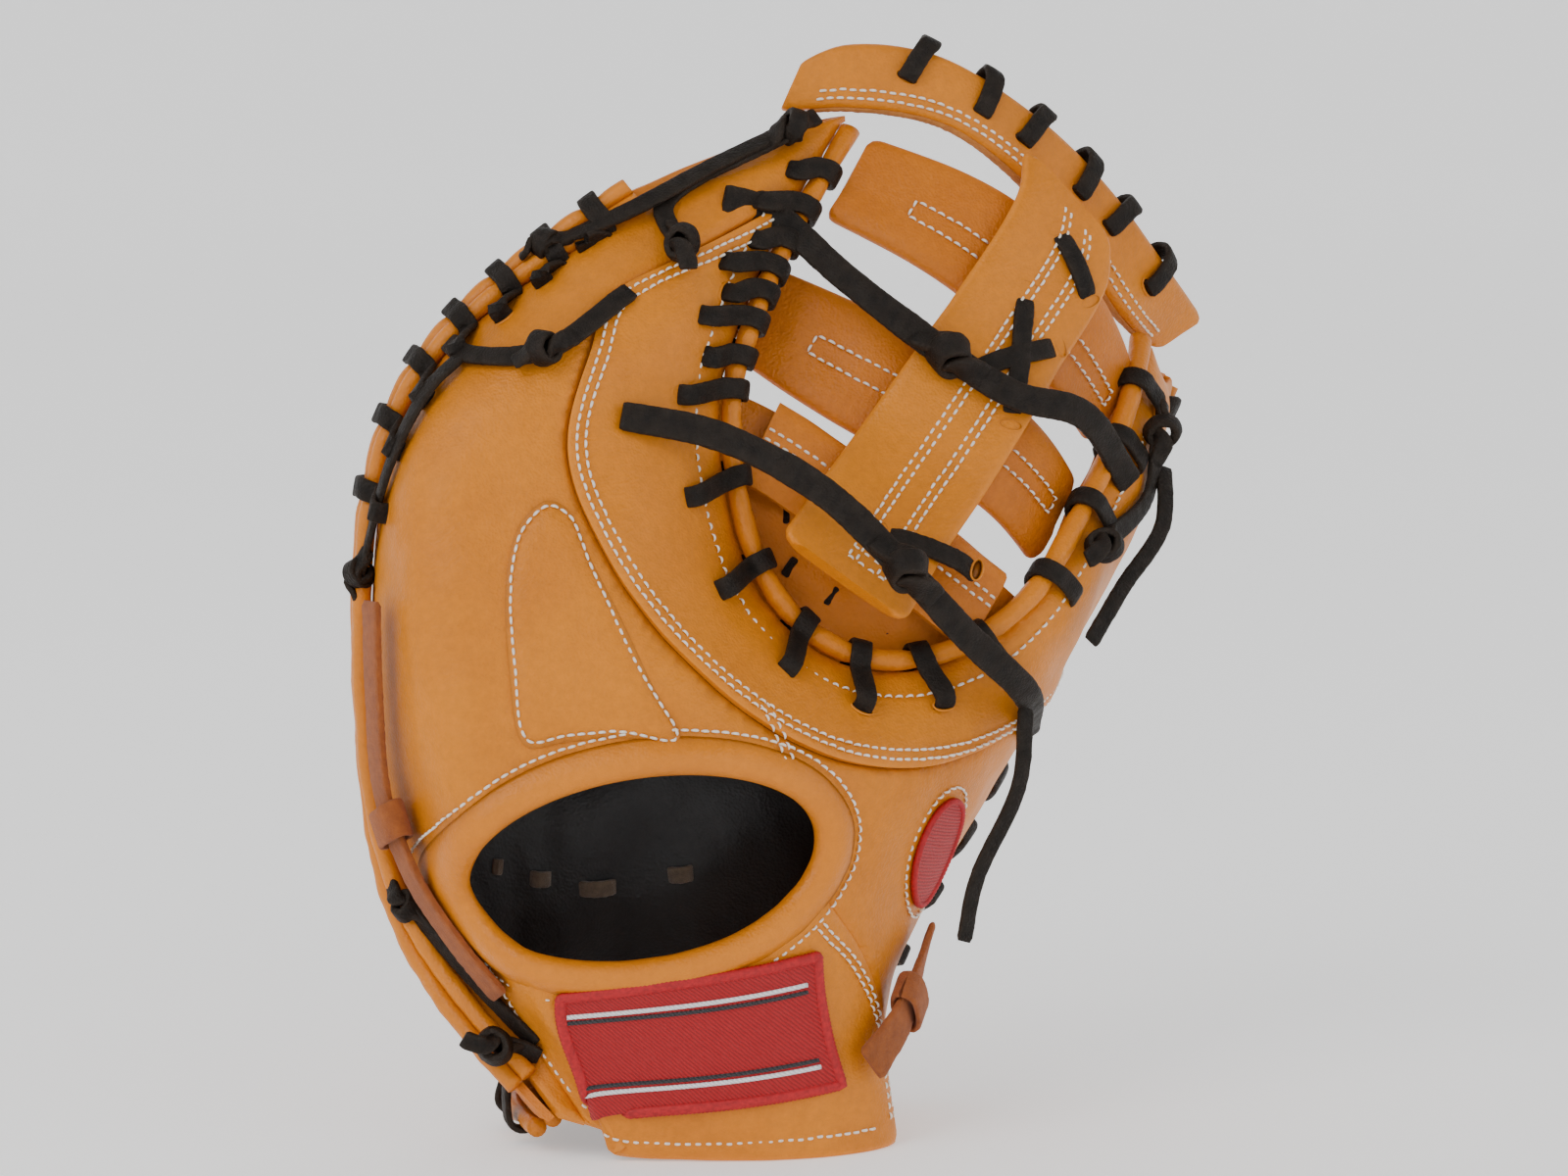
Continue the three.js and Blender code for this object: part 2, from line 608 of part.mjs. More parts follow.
// A place on a rim: its points on both leathers, the palm's normal, the way along and the way out.
function rimFrame(uv, t) {
  const last = uv.length - 1;
  const at = Math.min(Math.max(t, 0), 1) * last;
  const i = Math.min(Math.floor(at), last - 1);
  const k = at - i;
  const [u, v] = [0, 1].map((c) => uv[i][c] * (1 - k) + uv[i + 1][c] * k);
  const before = palm(...uv[Math.max(i - 1, 0)]);
  const after = palm(...uv[Math.min(i + 2, last)]);
  const along = after.sub(before).normalize();
  const n = palmNormal(u, v);
  const out = n.clone().cross(along).normalize();
  const { du, dv } = tangents(palm, u, v);
  const [p, q] = [palmFlat(u, v), backFlat(u, v)];
  return {
    u, v, n, along, out, p, q, depth: p.clone().sub(q).dot(n),
    // The place a distance in from the rim.
    inside(d) {
      const want = out.clone().multiplyScalar(-d);
      const [a, b, c] = [du.dot(du), du.dot(dv), dv.dot(dv)];
      const [e, f] = [du.dot(want), dv.dot(want)];
      const det = a * c - b * b;
      return [Math.min(Math.max(u + (c * e - b * f) / det, 0.004), 0.996),
        Math.min(Math.max(v + (a * f - b * e) / det, 0.004), 0.996)];
    },
  };
}
const rimLength = (uv) => uv.slice(1).reduce((sum, q, i) => sum + palm(...q).distanceTo(palm(...uv[i])), 0);

// Where along a rim the net's own corners lie, between two ends.
function rimStations(uv, corners, from, to) {
  const share = ([u, v]) => {
    let [best, t] = [Infinity, 0];
    uv.forEach((q, i) => {
      if (i === uv.length - 1) return;
      const [dx, dy] = [uv[i + 1][0] - q[0], uv[i + 1][1] - q[1]];
      const k = Math.min(Math.max(((u - q[0]) * dx + (v - q[1]) * dy) / (dx * dx + dy * dy), 0), 1);
      const d = Math.hypot(q[0] + k * dx - u, q[1] + k * dy - v);
      if (d < best) [best, t] = [d, (i + k) / (uv.length - 1)];
    });
    return t;
  };
  const inner = corners.map(share).filter((t) => t > from + 0.01 && t < to - 0.01).sort((a, b) => a - b);
  return [from, ...inner, to];
}
const columns = spread(columnCount, (t) => Math.round(t * columnCount));
const thumbCorners = sideRows.map((v) => [0, v]);
const fingerCorners = sideRows.map((v) => [1, v]);
const heelCorners = columns.map((j) => [column(j, 0), 0]);
const notchSides = sideRows.slice(notchRow);
const notchCorners = [...notchSides.map((v) => [notchThumb, v]),
  ...notchSides.map((v) => [notchFinger(v), v]),
  ...columns.slice(sideColumns.thumb + 1, sideColumns.thumb + sideColumns.middle)
    .map((j) => [column(j, notchTop), notchFloor(column(j, notchTop))])];

// Two rolls side by side that cover both leathers' edges.
const doubleRoll = [[0, 1.6], [1.1, 2], [2, 1.05], [1.35, 0], [2, -1.05], [1.1, -2], [0, -1.6]];
function doubleWelt(uv, corners, from, to, alone = false) {
  return sweep(rimStations(uv, corners, from, to).map((t) => {
    const f = rimFrame(uv, t);
    const middle = alone ? offset(f.p, f.n, -palmLeather / 2) : f.p.clone().add(f.q).multiplyScalar(0.5);
    return doubleRoll.map(([e, h]) => middle.clone()
      .addScaledVector(f.out, 2 * clearance + e * weltRadius).addScaledVector(f.n, h * weltRadius));
  }));
}
function singleWelt(uv, corners, from, to) {
  return sweep(rimStations(uv, corners, from, to).map((t) => {
    const f = rimFrame(uv, t);
    const middle = offset(f.q, f.n, backLeather / 2).addScaledVector(f.out, 1.5 * clearance + webWeltRadius);
    return spread(6, (k) => k * 2 * Math.PI).slice(0, -1).map((angle) => middle.clone()
      .addScaledVector(f.out, webWeltRadius * Math.cos(angle))
      .addScaledVector(f.n, webWeltRadius * Math.sin(angle)));
  }));
}

const standOff = laceThickness / 2 + 2 * clearance;

// A slot for a lace, straight through a leather from its outer face.
function slot(face, normal, w, leather) {
  const n = normal.clone().normalize();
  const side = w.clone().addScaledVector(n, -w.dot(n)).normalize();
  const flat = n.clone().cross(side);
  const [a, b] = [laceWidth / 2 + clearance, laceThickness / 2 + clearance];
  const ring = (h) => [[-1, -1], [1, -1], [1, 1], [-1, 1]].map(([s, t]) => face.clone()
    .addScaledVector(side, s * a).addScaledVector(flat, t * b).addScaledVector(n, h));
  return sweep([ring(-leather - 1), ring(1)]);
}

// The stations of a lace through a slot, on both sides of the leather.
function through(surface, n, uv, w, leather, lace) {
  const side = w.clone().addScaledVector(n, -w.dot(n)).normalize();
  const face = surface(...uv);
  lace.slots.push({ leather: surface, solid: slot(face, n, side, leather) });
  return {
    outer: { p: offset(face, n, standOff), w: side },
    inner: { p: offset(face, n, -leather - standOff + clearance), w: side },
  };
}
const throughPalm = (uv, w, lace) => through(palmFlat, palmNormal(...uv), uv, w, palmLeather, lace);
const throughBack = (uv, w, lace) => through(backFlat, backNormal(...uv), uv, w, backLeather, lace);

// A lace whipped over the double rolls, from the back through to the palm. Where the leathers
// lie close it runs midway between them.
function whipLace(uv, from, to, close) {
  const count = Math.max(2, Math.round((rimLength(uv) * (to - from)) / edgePitch));
  const reach = 2 * clearance + 2 * weltRadius;
  const high = 2 * weltRadius + standOff + 0.8;
  const lace = { stations: [], slots: [] };
  for (let i = 0; i < count; i += 1) {
    const f = rimFrame(uv, from + ((to - from) * (i + 0.5)) / count);
    const hole = f.inside(holeInset);
    const middle = f.p.clone().add(f.q).multiplyScalar(0.5);
    const over = (e, h) => ({ p: offset(middle, f.out, e).addScaledVector(f.n, h), w: f.along });
    const front = throughPalm(hole, f.along, lace);
    const rear = close
      ? through(backFlat, palmNormal(...hole).negate(), hole, f.along, 1.6 * backLeather, lace)
      : throughBack(hole, f.along, lace);
    if (close) {
      const between = front.inner.p.clone().add(rear.inner.p).multiplyScalar(0.5);
      front.inner.p.copy(offset(between, f.n, 0.3));
      rear.inner.p.copy(offset(between, f.n, -0.3));
    }
    lace.stations.push(front.inner, front.outer, over(reach - 1, high), over(reach + standOff + 2.8, 0),
      over(reach - 1, -high), rear.outer, rear.inner);
  }
  return lace;
}

// A lace whipped over the rolls of the heel, through the palm leather alone.
function heelLace(uv, from, to) {
  const count = Math.max(2, Math.round((rimLength(uv) * (to - from)) / edgePitch));
  const reach = 1.5 * clearance + 2 * weltRadius;
  const high = 2 * weltRadius + standOff + 0.8;
  const lace = { stations: [], slots: [] };
  for (let i = 0; i < count; i += 1) {
    const f = rimFrame(uv, from + ((to - from) * (i + 0.5)) / count);
    const middle = offset(f.p, f.n, -palmLeather / 2);
    const over = (e, h) => ({ p: offset(middle, f.out, e).addScaledVector(f.n, h), w: f.along });
    const front = throughPalm(f.inside(holeInset), f.along, lace);
    lace.stations.push(front.inner, front.outer, over(reach - 1, high), over(reach + standOff + 2.8, 0),
      over(reach - 1, -high), over(-2, -high + 0.8));
  }
  return lace;
}

// A lace that wraps the single roll of the notch.
function rollLace(uv, from, to) {
  const count = Math.max(2, Math.round((rimLength(uv) * (to - from)) / webPitch));
  const reach = 1.5 * clearance + 2 * webWeltRadius + 1;
  const high = webWeltRadius + standOff + 1.6;
  const lace = { stations: [], slots: [] };
  for (let i = 0; i < count; i += 1) {
    const f = rimFrame(uv, from + ((to - from) * (i + 0.5)) / count);
    const middle = offset(f.q, f.n, backLeather / 2);
    const over = (e, h) => ({ p: offset(middle, f.out, e).addScaledVector(f.n, h), w: f.along });
    const rear = throughBack(f.inside(holeInset), f.along, lace);
    lace.stations.push(rear.inner, rear.outer, over(reach - 0.6, -high), over(reach + standOff + 1.6, 0),
      over(reach - 0.6, high), over(-2.5, high - 0.8));
  }
  return lace;
}

// A lace that shows as sunken dashes in the palm: each dash fills a slot of its own length.
function dashLace(dashes) {
  const lace = { stations: [], slots: [] };
  dashes.forEach(([from, to]) => {
    const [a, b] = [palmFlat(...from), palmFlat(...to)];
    const mid = [0, 1].map((k) => (from[k] + to[k]) / 2);
    const n = palmNormal(...mid);
    const way = b.clone().sub(a);
    way.addScaledVector(n, -way.dot(n)).normalize();
    const w = n.clone().cross(way).normalize();
    const face = palmFlat(...mid);
    const half = a.distanceTo(b) / 2;
    const at = (x, h) => ({ p: face.clone().addScaledVector(way, x).addScaledVector(n, h), w });
    const [length, width] = [half + laceThickness + 2 * clearance, laceWidth / 2 + 2 * clearance];
    const ring = (h) => [[-1, -1], [1, -1], [1, 1], [-1, 1]].map(([s, t]) => face.clone()
      .addScaledVector(way, s * length).addScaledVector(w, t * width).addScaledVector(n, h));
    lace.slots.push({ leather: palmFlat, solid: sweep([ring(-palmLeather - 1.5), ring(1.5)]) });
    lace.stations.push(at(-half, -palmLeather - standOff), at(-half, 0.3), at(half, 0.3),
      at(half, -palmLeather - standOff));
  });
  return lace;
}

const laceOf = (lace) => strap(lace.stations, laceWidth, laceThickness);

const leatherOrange = 0xd9821f;
const palmOrange = 0xcf7618;
const laceBlack = 0x2b2522;
const linerBlack = 0x191a1b;
const patchRed = 0xc21a2e;
const suedeTan = 0xb5713a;
const finish = (color, roughness) => new THREE.MeshStandardMaterial({ color, roughness, metalness: 0 });

const pieces = [];
const add = (name, solid, color, roughness = 0.55) => pieces.push({ name, solid, color, roughness });

// Rolled edges.
add('thumb_welt', doubleWelt(thumbEdgeUv, thumbCorners, 0.04, 0.985), leatherOrange);
add('finger_welt', doubleWelt(fingerEdgeUv, fingerCorners, 0.015, 0.96), leatherOrange);
add('heel_welt', doubleWelt(heelUv, heelCorners, 0.05, 0.95, true), leatherOrange);
add('web_welt', singleWelt(notchUv, notchCorners, 0.02, 0.98), leatherOrange);

// Laces along the rims.
const rimLaces = [
  { name: 'thumb_lace', lace: whipLace(thumbEdgeUv, 0.14, 0.98, true) },
  { name: 'finger_lace', lace: whipLace(fingerEdgeUv, 0.02, 0.45, false) },
  { name: 'heel_lace', lace: heelLace(heelUv, 0.06, 0.94) },
  { name: 'web_lace_thumb', lace: rollLace(notchUv, 0.03, 0.3) },
  { name: 'web_lace_base', lace: rollLace(notchUv, 0.325, 0.675) },
  { name: 'web_lace_finger', lace: rollLace(notchUv, 0.69, 0.97) },
  ...Object.entries(palmDashes).map(([name, dashes]) => ({ name, lace: dashLace(dashes) })),
];
rimLaces.forEach(({ name, lace }) => add(name, laceOf(lace), laceBlack, 0.7));

// The opening over the back of the hand.
const openingAt = [0.605, 0.35];
const openingChart = backChart(...openingAt);
const tilt = THREE.MathUtils.degToRad(openingTilt);
const openingUv = spread(24, (t) => {
  const angle = t * 2 * Math.PI;
  const x = (openingWidth / 2) * Math.cos(angle);
  const y = (openingHeight / 2) * Math.sin(angle);
  return openingChart(x * Math.cos(tilt) - y * Math.sin(tilt), x * Math.sin(tilt) + y * Math.cos(tilt));
}).slice(0, -1);
const openingCut = wall(discNet(openingUv, 2), (u, v) => onBack(u, v, 9), (u, v) => onBack(u, v, -11));
function bindingRing(radius) {
  return sweep(openingUv.map(([u, v], i) => {
    const count = openingUv.length;
    const before = onBack(...openingUv[(i + count - 1) % count], -backLeather / 2);
    const after = onBack(...openingUv[(i + 1) % count], -backLeather / 2);
    const along = after.sub(before).normalize();
    const n = backNormal(u, v);
    const side = along.clone().cross(n).normalize();
    const middle = onBack(u, v, -backLeather / 2);
    return spread(6, (k) => k * 2 * Math.PI).slice(0, -1).map((angle) => middle.clone()
      .addScaledVector(side, radius * Math.cos(angle)).addScaledVector(n, radius * Math.sin(angle)));
  }), true);
}
add('wrist_binding', bindingRing(bindingRadius), leatherOrange);

// A thin cut through the back leather along a seam.
function seamCut(route, steps) {
  const line = smoothly(route.map(([u, v]) => vec(u, v, 0)));
  const places = line.getSpacedPoints(steps).map((q) => [
    Math.min(Math.max(q.x, 0), 1), Math.min(Math.max(q.y, 0), 1)]);
  const rings = places.map(([u, v], i) => {
    const before = backFlat(...places[Math.max(i - 1, 0)]);
    const after = backFlat(...places[Math.min(i + 1, places.length - 1)]);
    const along = after.sub(before).normalize();
    const n = backNormal(u, v);
    const side = along.clone().cross(n).normalize().multiplyScalar(clearance / 2 + 0.05);
    const ends = i === 0 ? -14 : i === places.length - 1 ? 14 : 0;
    const p = backFlat(u, v).addScaledVector(along, ends);
    return [[-1, 5], [1, 5], [1, -4.5], [-1, -4.5]]
      .map(([s, h]) => p.clone().addScaledVector(side, s).addScaledVector(n, h));
  });
  return sweep(rings);
}

let palmShell = wall(palmNet, palm, (u, v) => onPalm(u, v, -palmLeather));
let backShell = wall(backNet, back, (u, v) => onBack(u, v, -backLeather));
rimLaces.forEach(({ lace }) => lace.slots.forEach(({ leather, solid }) => {
  if (leather === palmFlat) palmShell = palmShell.subtract(solid);
  else backShell = backShell.subtract(solid);
}));
backShell = backShell.subtract(openingCut).subtract(bindingRing(bindingRadius + clearance));
[[webSeam, 22], [handSeam, 4], [strapSeamLeft, 9], [strapSeamRight, 9]]
  .forEach(([route, steps]) => {
    backShell = backShell.subtract(seamCut(route, steps));
  });
add('palm_shell', palmShell, palmOrange);

const backPieces = [
  { name: 'finger_back', at: [0.9, 0.6] },
  { name: 'web_base', at: [0.5, 0.475] },
  { name: 'thumb_back', at: [0.2, 0.33] },
  { name: 'wrist_strap', at: [0.55, 0.15] },
];
const bodies = backShell.decompose();
const distanceToBody = (body, spot) => {
  const { vertProperties: at, numProp } = body.getMesh();
  let best = Infinity;
  for (let i = 0; i < at.length; i += numProp) {
    best = Math.min(best, spot.distanceTo(vec(at[i], at[i + 1], at[i + 2])));
  }
  return best;
};
backPieces.forEach(({ name, at }) => {
  const spot = back(...at);
  const nearest = bodies.reduce((best, body) => (
    distanceToBody(body, spot) < distanceToBody(best, spot) ? body : best));
  add(name, nearest, leatherOrange);
});

// Cover pieces and patches on the back.
const onBackFlat = (u, v, lift) => offset(backFlat(u, v), backNormal(u, v), lift);
const plate = (net, thickness, lift = clearance + 0.15) => wall(net,
  (u, v) => onBackFlat(u, v, lift + thickness), (u, v) => onBackFlat(u, v, lift));
add('finger_ridge', plate(discNet(ridgeOutline, 2), trimLeather), leatherOrange);
const patchChart = backChart(0.485, 0.172);
add('strap_patch', plate(sheetNet(10, 3, (s, t) => patchChart(
  (s - 0.5) * patchWidth - (t - 0.5) * patchHeight * patchLean,
  (t - 0.5) * patchHeight + (s - 0.5) * patchWidth * patchRise,
)), trimLeather, 0.9), patchRed, 0.8);
const ovalChart = backChart(0.255, 0.385);
add('thumb_patch', plate(discNet(spread(14, (t) => {
  const angle = t * 2 * Math.PI;
  return ovalChart((ovalWidth / 2) * Math.cos(angle), (ovalHeight / 2) * Math.sin(angle));
}).slice(0, -1), 2), trimLeather), patchRed, 0.8);

// The dark lining behind the palm leather.
add('palm_liner', wall(sheetNet(6, 5, (s, t) => [0.29 + 0.53 * s, 0.1 + 0.37 * t]),
  (u, v) => onPalm(u, v, -palmLeather - linerDepth),
  (u, v) => onPalm(u, v, -palmLeather - linerDepth - linerLeather)), linerBlack, 0.6);

// The palm's fold behind the web foot, with room for the palm's laces in front of it.
const footDrop = palmLeather + standOff + laceThickness / 2 + 2 * clearance;
const footRise = (u) => footHeight / palm(u, footLine).distanceTo(palm(u, footLine - 0.1));
add('web_foot', wall(sheetNet(9, 1, (s, t) => {
  const u = 0.33 + 0.31 * s;
  return [u, footLine - 0.015 - 0.1 * footRise(u) * (1 - t)];
}), (u, v) => onPalm(u, v, -footDrop), (u, v) => onPalm(u, v, -footDrop - palmLeather)),
palmOrange);

// Folded bands with rounded long edges: a net along and across the band, and its two faces.
const fold = [0, 0.12, 0.88, 1];
function bandOf(columns, place, normal, thickness) {
  const net = sheetNet(columns, fold.length - 1, (s, t) => [s, fold[Math.round(t * (fold.length - 1))]]);
  const half = (t) => (thickness / 2) * (t === 0 || t === 1 ? 0.45 : 1);
  const top = (s, t) => offset(place(s, t), normal(s, t), half(t));
  const bottom = (s, t) => offset(place(s, t), normal(s, t), -half(t));
  return {
    solid: wall(net, top, bottom),
    top: flatSurface(net, top),
    bottom: flatSurface(net, bottom, top),
  };
}
const barEnd = 0.04;
const along = (s) => barEnd + (1 - 2 * barEnd) * s;
const addBar = (name, row) => add(name, bandOf(7, (s, t) => web(along(s), row + t),
  (s, t) => webNormal(along(s), row + t), barThickness).solid, palmOrange);
addBar('web_bar_lower', 1);
addBar('web_bar_upper', 3);

// A band between two long edges.
function bandBetween(first, second) {
  const [left, right] = [smoothly(first), smoothly(second)];
  const place = (s, t) => left.getPoint(s).lerp(right.getPoint(s), t);
  const normal = (s, t) => {
    const way = place(Math.min(s + 0.03, 1), t).sub(place(Math.max(s - 0.03, 0), t));
    return way.cross(right.getPoint(s).sub(left.getPoint(s))).normalize();
  };
  return { place, normal };
}

// The post, in front of the bars as seen from the back.
const postLift = barThickness / 2 + clearance + postThickness / 2 + 0.6;
const post = bandBetween(postTable.map((row) => fromShares(row.finger)),
  postTable.map((row) => fromShares(row.thumb)));
const postSide = post.normal(0.5, 0.5).y < 0 ? 1 : -1;
const postPlace = (s, t) => offset(post.place(s, t), post.normal(s, t), postSide * postLift);
add('web_post', bandOf(10, postPlace, post.normal, postThickness).solid, leatherOrange);

// The crown, and the lace whipped over its fold.
const crown = bandBetween(crownTable.map((row) => fromShares(row.inner)),
  crownTable.map((row) => fromShares(row.outer)));
const crownBand = bandOf(15, crown.place, crown.normal, crownThickness);
const crownLace = { stations: [] };
crownHoles.forEach((s) => {
  const [top, bottom] = [crownBand.top(s, 1), crownBand.bottom(s, 1)];
  const outer = top.clone().add(bottom).multiplyScalar(0.5);
  const n = top.clone().sub(bottom).normalize();
  const up = outer.clone().sub(crown.place(s, 0));
  const wide = up.length();
  up.normalize();
  const w = up.clone().cross(n).normalize();
  const t = 1 - holeInset / wide;
  const [front, rear] = [crownBand.top(s, t), crownBand.bottom(s, t)];
  crownBand.solid = crownBand.solid.subtract(slot(front, n, w, front.distanceTo(rear)));
  const over = (h, d) => ({ p: outer.clone().addScaledVector(up, h).addScaledVector(n, d), w });
  const high = crownThickness / 2 + standOff;
  crownLace.stations.push({ p: offset(rear, n, -standOff), w }, { p: offset(front, n, standOff), w },
    over(0.6, high), over(standOff + 2.2, 0), over(0.6, -high));
});
add('web_crown', crownBand.solid, leatherOrange);
add('crown_lace', laceOf(crownLace), laceBlack, 0.7);

// Long laces over the web, each knotted on its way.
webTies.forEach(({ name, start, end, route, knotAt }) => {
  const line = smoothly([onBack(...start, standOff), ...route.map(fromShares), onBack(...end, standOff)]);
  const stations = spread(12, (t) => {
    const p = line.getPoint(t);
    const way = line.getTangent(t);
    return { p, w: way.clone().cross(vec(0.25, -1, 0.1)).normalize() };
  });
  const centre = fromShares(route[knotAt]);
  const way = line.getTangent((knotAt + 1) / (route.length + 1));
  add(name, laceOf({ stations }).add(knot(centre, way, knotSize * 1.2)), laceBlack, 0.7);
});

// Leather ties on the pinky side and the thumb side, each with its knot.
function leatherTie(places, surface, knotAt) {
  const line = smoothly(places.map(([u, v, lift]) => surface(u, v, lift)));
  const stations = spread(8, (t) => {
    const p = line.getPoint(t);
    const [u, v] = places[Math.round(t * (places.length - 1))];
    return { p, w: line.getTangent(t).cross(backNormal(u, v)).normalize() };
  });
  const t = knotAt / (places.length - 1);
  return strap(stations, tieWidth, tieThickness).add(knot(line.getPoint(t), line.getTangent(t), tieKnot));
}
add('pinky_tie', leatherTie([[0.93, 0.47, 6], [0.925, 0.42, 6.5], [0.92, 0.36, 7.5], [0.91, 0.3, 5.5],
  [0.9, 0.22, 4.5]], onBack, 2), suedeTan, 0.9);
add('thumb_tie', leatherTie([[0.19, 0.285, 5], [0.215, 0.235, 7], [0.25, 0.175, 9],
  [0.285, 0.12, 8]], onBack, 2), suedeTan, 0.9);

// Laces over the fingers and the thumb, with their knots.
backLaces.forEach(({ name, route, knots }) => {
  const line = smoothly(route.map(([u, v, lift]) => onBack(u, v, lift)));
  const last = route.length - 1;
  const stations = spread(3 * last, (t) => {
    const [from, to] = [route[Math.floor(t * last)], route[Math.ceil(t * last)]];
    const k = t * last - Math.floor(t * last);
    const [u, v] = [0, 1].map((c) => from[c] * (1 - k) + to[c] * k);
    return { p: line.getPoint(t), w: line.getTangent(t).cross(backNormal(u, v)).normalize() };
  });
  const whole = knots.reduce((body, i) => body.add(knot(line.getPoint(i / last),
    line.getTangent(i / last), knotSize)), strap(stations, laceWidth, laceThickness));
  add(name, whole, laceBlack, 0.7);
});

// Lace ends that hang free.
tails.forEach(({ name, route }) => {
  const line = smoothly(route.map(fromShares));
  const rings = spread(Math.ceil(line.getLength() / (2.5 * tailWidth)), (t) => {
    const way = line.getTangent(t);
    const side = way.clone().cross(vec(0, 1, 0)).normalize();
    const flat = side.clone().cross(way);
    return spread(8, (k) => k * 2 * Math.PI).slice(0, -1).map((angle) => line.getPoint(t)
      .addScaledVector(side, (tailWidth / 2) * Math.cos(angle))
      .addScaledVector(flat, (tailWidth / 2) * Math.sin(angle)));
  });
  add(name, sweep(rings), laceBlack, 0.7);
});

// Soft leather makes room for what presses on it: each piece gives way to those before it.
function grown(solid, distance) {
  const mesh = solid.getMesh();
  const count = mesh.vertProperties.length / mesh.numProp;
  const points = Array.from({ length: count }, (_, i) => vec(...[0, 1, 2]
    .map((k) => mesh.vertProperties[i * mesh.numProp + k])));
  const normals = points.map(() => vec(0, 0, 0));
  const faces = [];
  const flats = points.map(() => []);
  for (let i = 0; i < mesh.triVerts.length; i += 3) {
    const face = [0, 1, 2].map((k) => mesh.triVerts[i + k]);
    const [a, b, c] = face.map((k) => points[k]);
    const n = b.clone().sub(a).cross(c.clone().sub(a)).normalize();
    face.forEach((k, j) => {
      const [p, q, r] = [0, 1, 2].map((m) => points[face[(j + m) % 3]]);
      normals[k].addScaledVector(n, q.clone().sub(p).angleTo(r.clone().sub(p)));
      flats[k].push(n);
    });
    faces.push(face);
  }
  const moved = points.map((p, i) => {
    const n = normals[i].normalize();
    const steep = Math.max(Math.min(...flats[i].map((f) => f.dot(n))), 0.5);
    return p.clone().addScaledVector(n, distance / steep);
  });
  return solidFrom(moved, faces);
}
const largest = (solid) => solid.decompose()
  .reduce((best, body) => (body.volume() > best.volume() ? body : best));
const order = (name) => firmness.findIndex((word) => name.startsWith(word));
pieces.sort((a, b) => order(a.name) - order(b.name));
pieces.forEach((firm, i) => {
  const room = grown(firm.solid, 0.9 * clearance);
  pieces.slice(i + 1).forEach((soft) => {
    if (firm.solid.intersect(soft.solid).volume() < 0.004) return;
    soft.solid = largest(soft.solid.subtract(room));
  });
});

// Everything stands on one level, with the origin under the middle of its box.
const box = new THREE.Box3();
const bottomOf = (solid) => solid.boundingBox().min[2];
const level = Math.min(...pieces.map((q) => bottomOf(q.solid))) + standTrim;
const mitt = new THREE.Group();
mitt.name = 'first_baseman_mitt';
const trimBox = new THREE.BoxGeometry(4 * mittWidth, 4 * mittDepth, mittHeight);
trimBox.translate(0, 0, level - mittHeight / 2);
const below = toSolid(trimBox);
pieces.forEach((piece) => {
  piece.solid = bottomOf(piece.solid) < level ? piece.solid.subtract(below) : piece.solid;
  const { min, max } = piece.solid.boundingBox();
  box.expandByPoint(vec(...min)).expandByPoint(vec(...max));
});
const middle = box.getCenter(vec(0, 0, 0));
pieces.forEach(({ name, solid, color, roughness }) => {
  const cut = solid.getMesh();
  const geometry = new THREE.BufferGeometry();
  geometry.setAttribute('position', new THREE.BufferAttribute(new Float32Array(cut.vertProperties), 3));
  geometry.setIndex([...cut.triVerts]);
  geometry.translate(-middle.x, -middle.y, -box.min.z);
  const mesh = new THREE.Mesh(geometry, finish(color, roughness));
  mesh.name = name;
  mitt.add(mesh);
});

export default mitt;
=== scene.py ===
import math
import bpy
import numpy as np
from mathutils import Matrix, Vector
from mathutils.geometry import delaunay_2d_cdt


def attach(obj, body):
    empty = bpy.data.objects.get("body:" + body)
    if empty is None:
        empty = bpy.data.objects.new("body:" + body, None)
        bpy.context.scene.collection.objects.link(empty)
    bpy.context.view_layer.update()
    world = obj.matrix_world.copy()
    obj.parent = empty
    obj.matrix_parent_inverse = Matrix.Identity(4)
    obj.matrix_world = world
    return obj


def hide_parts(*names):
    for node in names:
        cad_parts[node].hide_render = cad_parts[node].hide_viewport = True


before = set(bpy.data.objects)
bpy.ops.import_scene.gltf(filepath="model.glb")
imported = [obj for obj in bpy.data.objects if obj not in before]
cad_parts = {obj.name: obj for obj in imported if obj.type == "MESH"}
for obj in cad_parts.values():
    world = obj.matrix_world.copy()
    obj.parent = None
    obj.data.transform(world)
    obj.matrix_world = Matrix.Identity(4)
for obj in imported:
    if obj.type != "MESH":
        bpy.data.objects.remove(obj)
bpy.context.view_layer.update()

# sizes in millimetres until a mesh is made, then metres in the row's own place
form = {"size": np.array([250.0, 200.0, 320.0]), "shift": np.array([18.899, 35.463, 1.981]),
        "palmLeather": 2.4, "backLeather": 2.0, "strapDrop": 9.3,
        "edgeRound": 34.0, "rimSpread": 0.28, "rimDepth": 5.2}
laceCut = {"width": 6.2, "thickness": 2.0, "pitch": 20.0, "inset": 10.0}

dice = np.random.default_rng(11)


def toRow(points):
    return (np.asarray(points, float) - form["shift"]) / 1000.0


def shares(rows):
    return np.asarray(rows, float) * form["size"]


def unit(v):
    v = np.asarray(v, float)
    return v / np.maximum(np.linalg.norm(v, axis=-1, keepdims=True), 1e-9)


# camera
view = {"elevation": 8.0, "distance": 2.3, "lens": 178.0, "aim": (0.0, -0.012, 0.1595)}


def setCamera():
    data = bpy.data.cameras.new("camera")
    data.lens, data.sensor_width = view["lens"], 36.0
    camera = bpy.data.objects.new("camera", data)
    bpy.context.scene.collection.objects.link(camera)
    e = math.radians(view["elevation"])
    back = Vector((0.0, -math.cos(e), math.sin(e)))
    camera.location = Vector(view["aim"]) + back * view["distance"]
    camera.rotation_euler = (-back).to_track_quat("-Z", "Y").to_euler()
    bpy.context.scene.camera = camera


setCamera()
print("camera set")


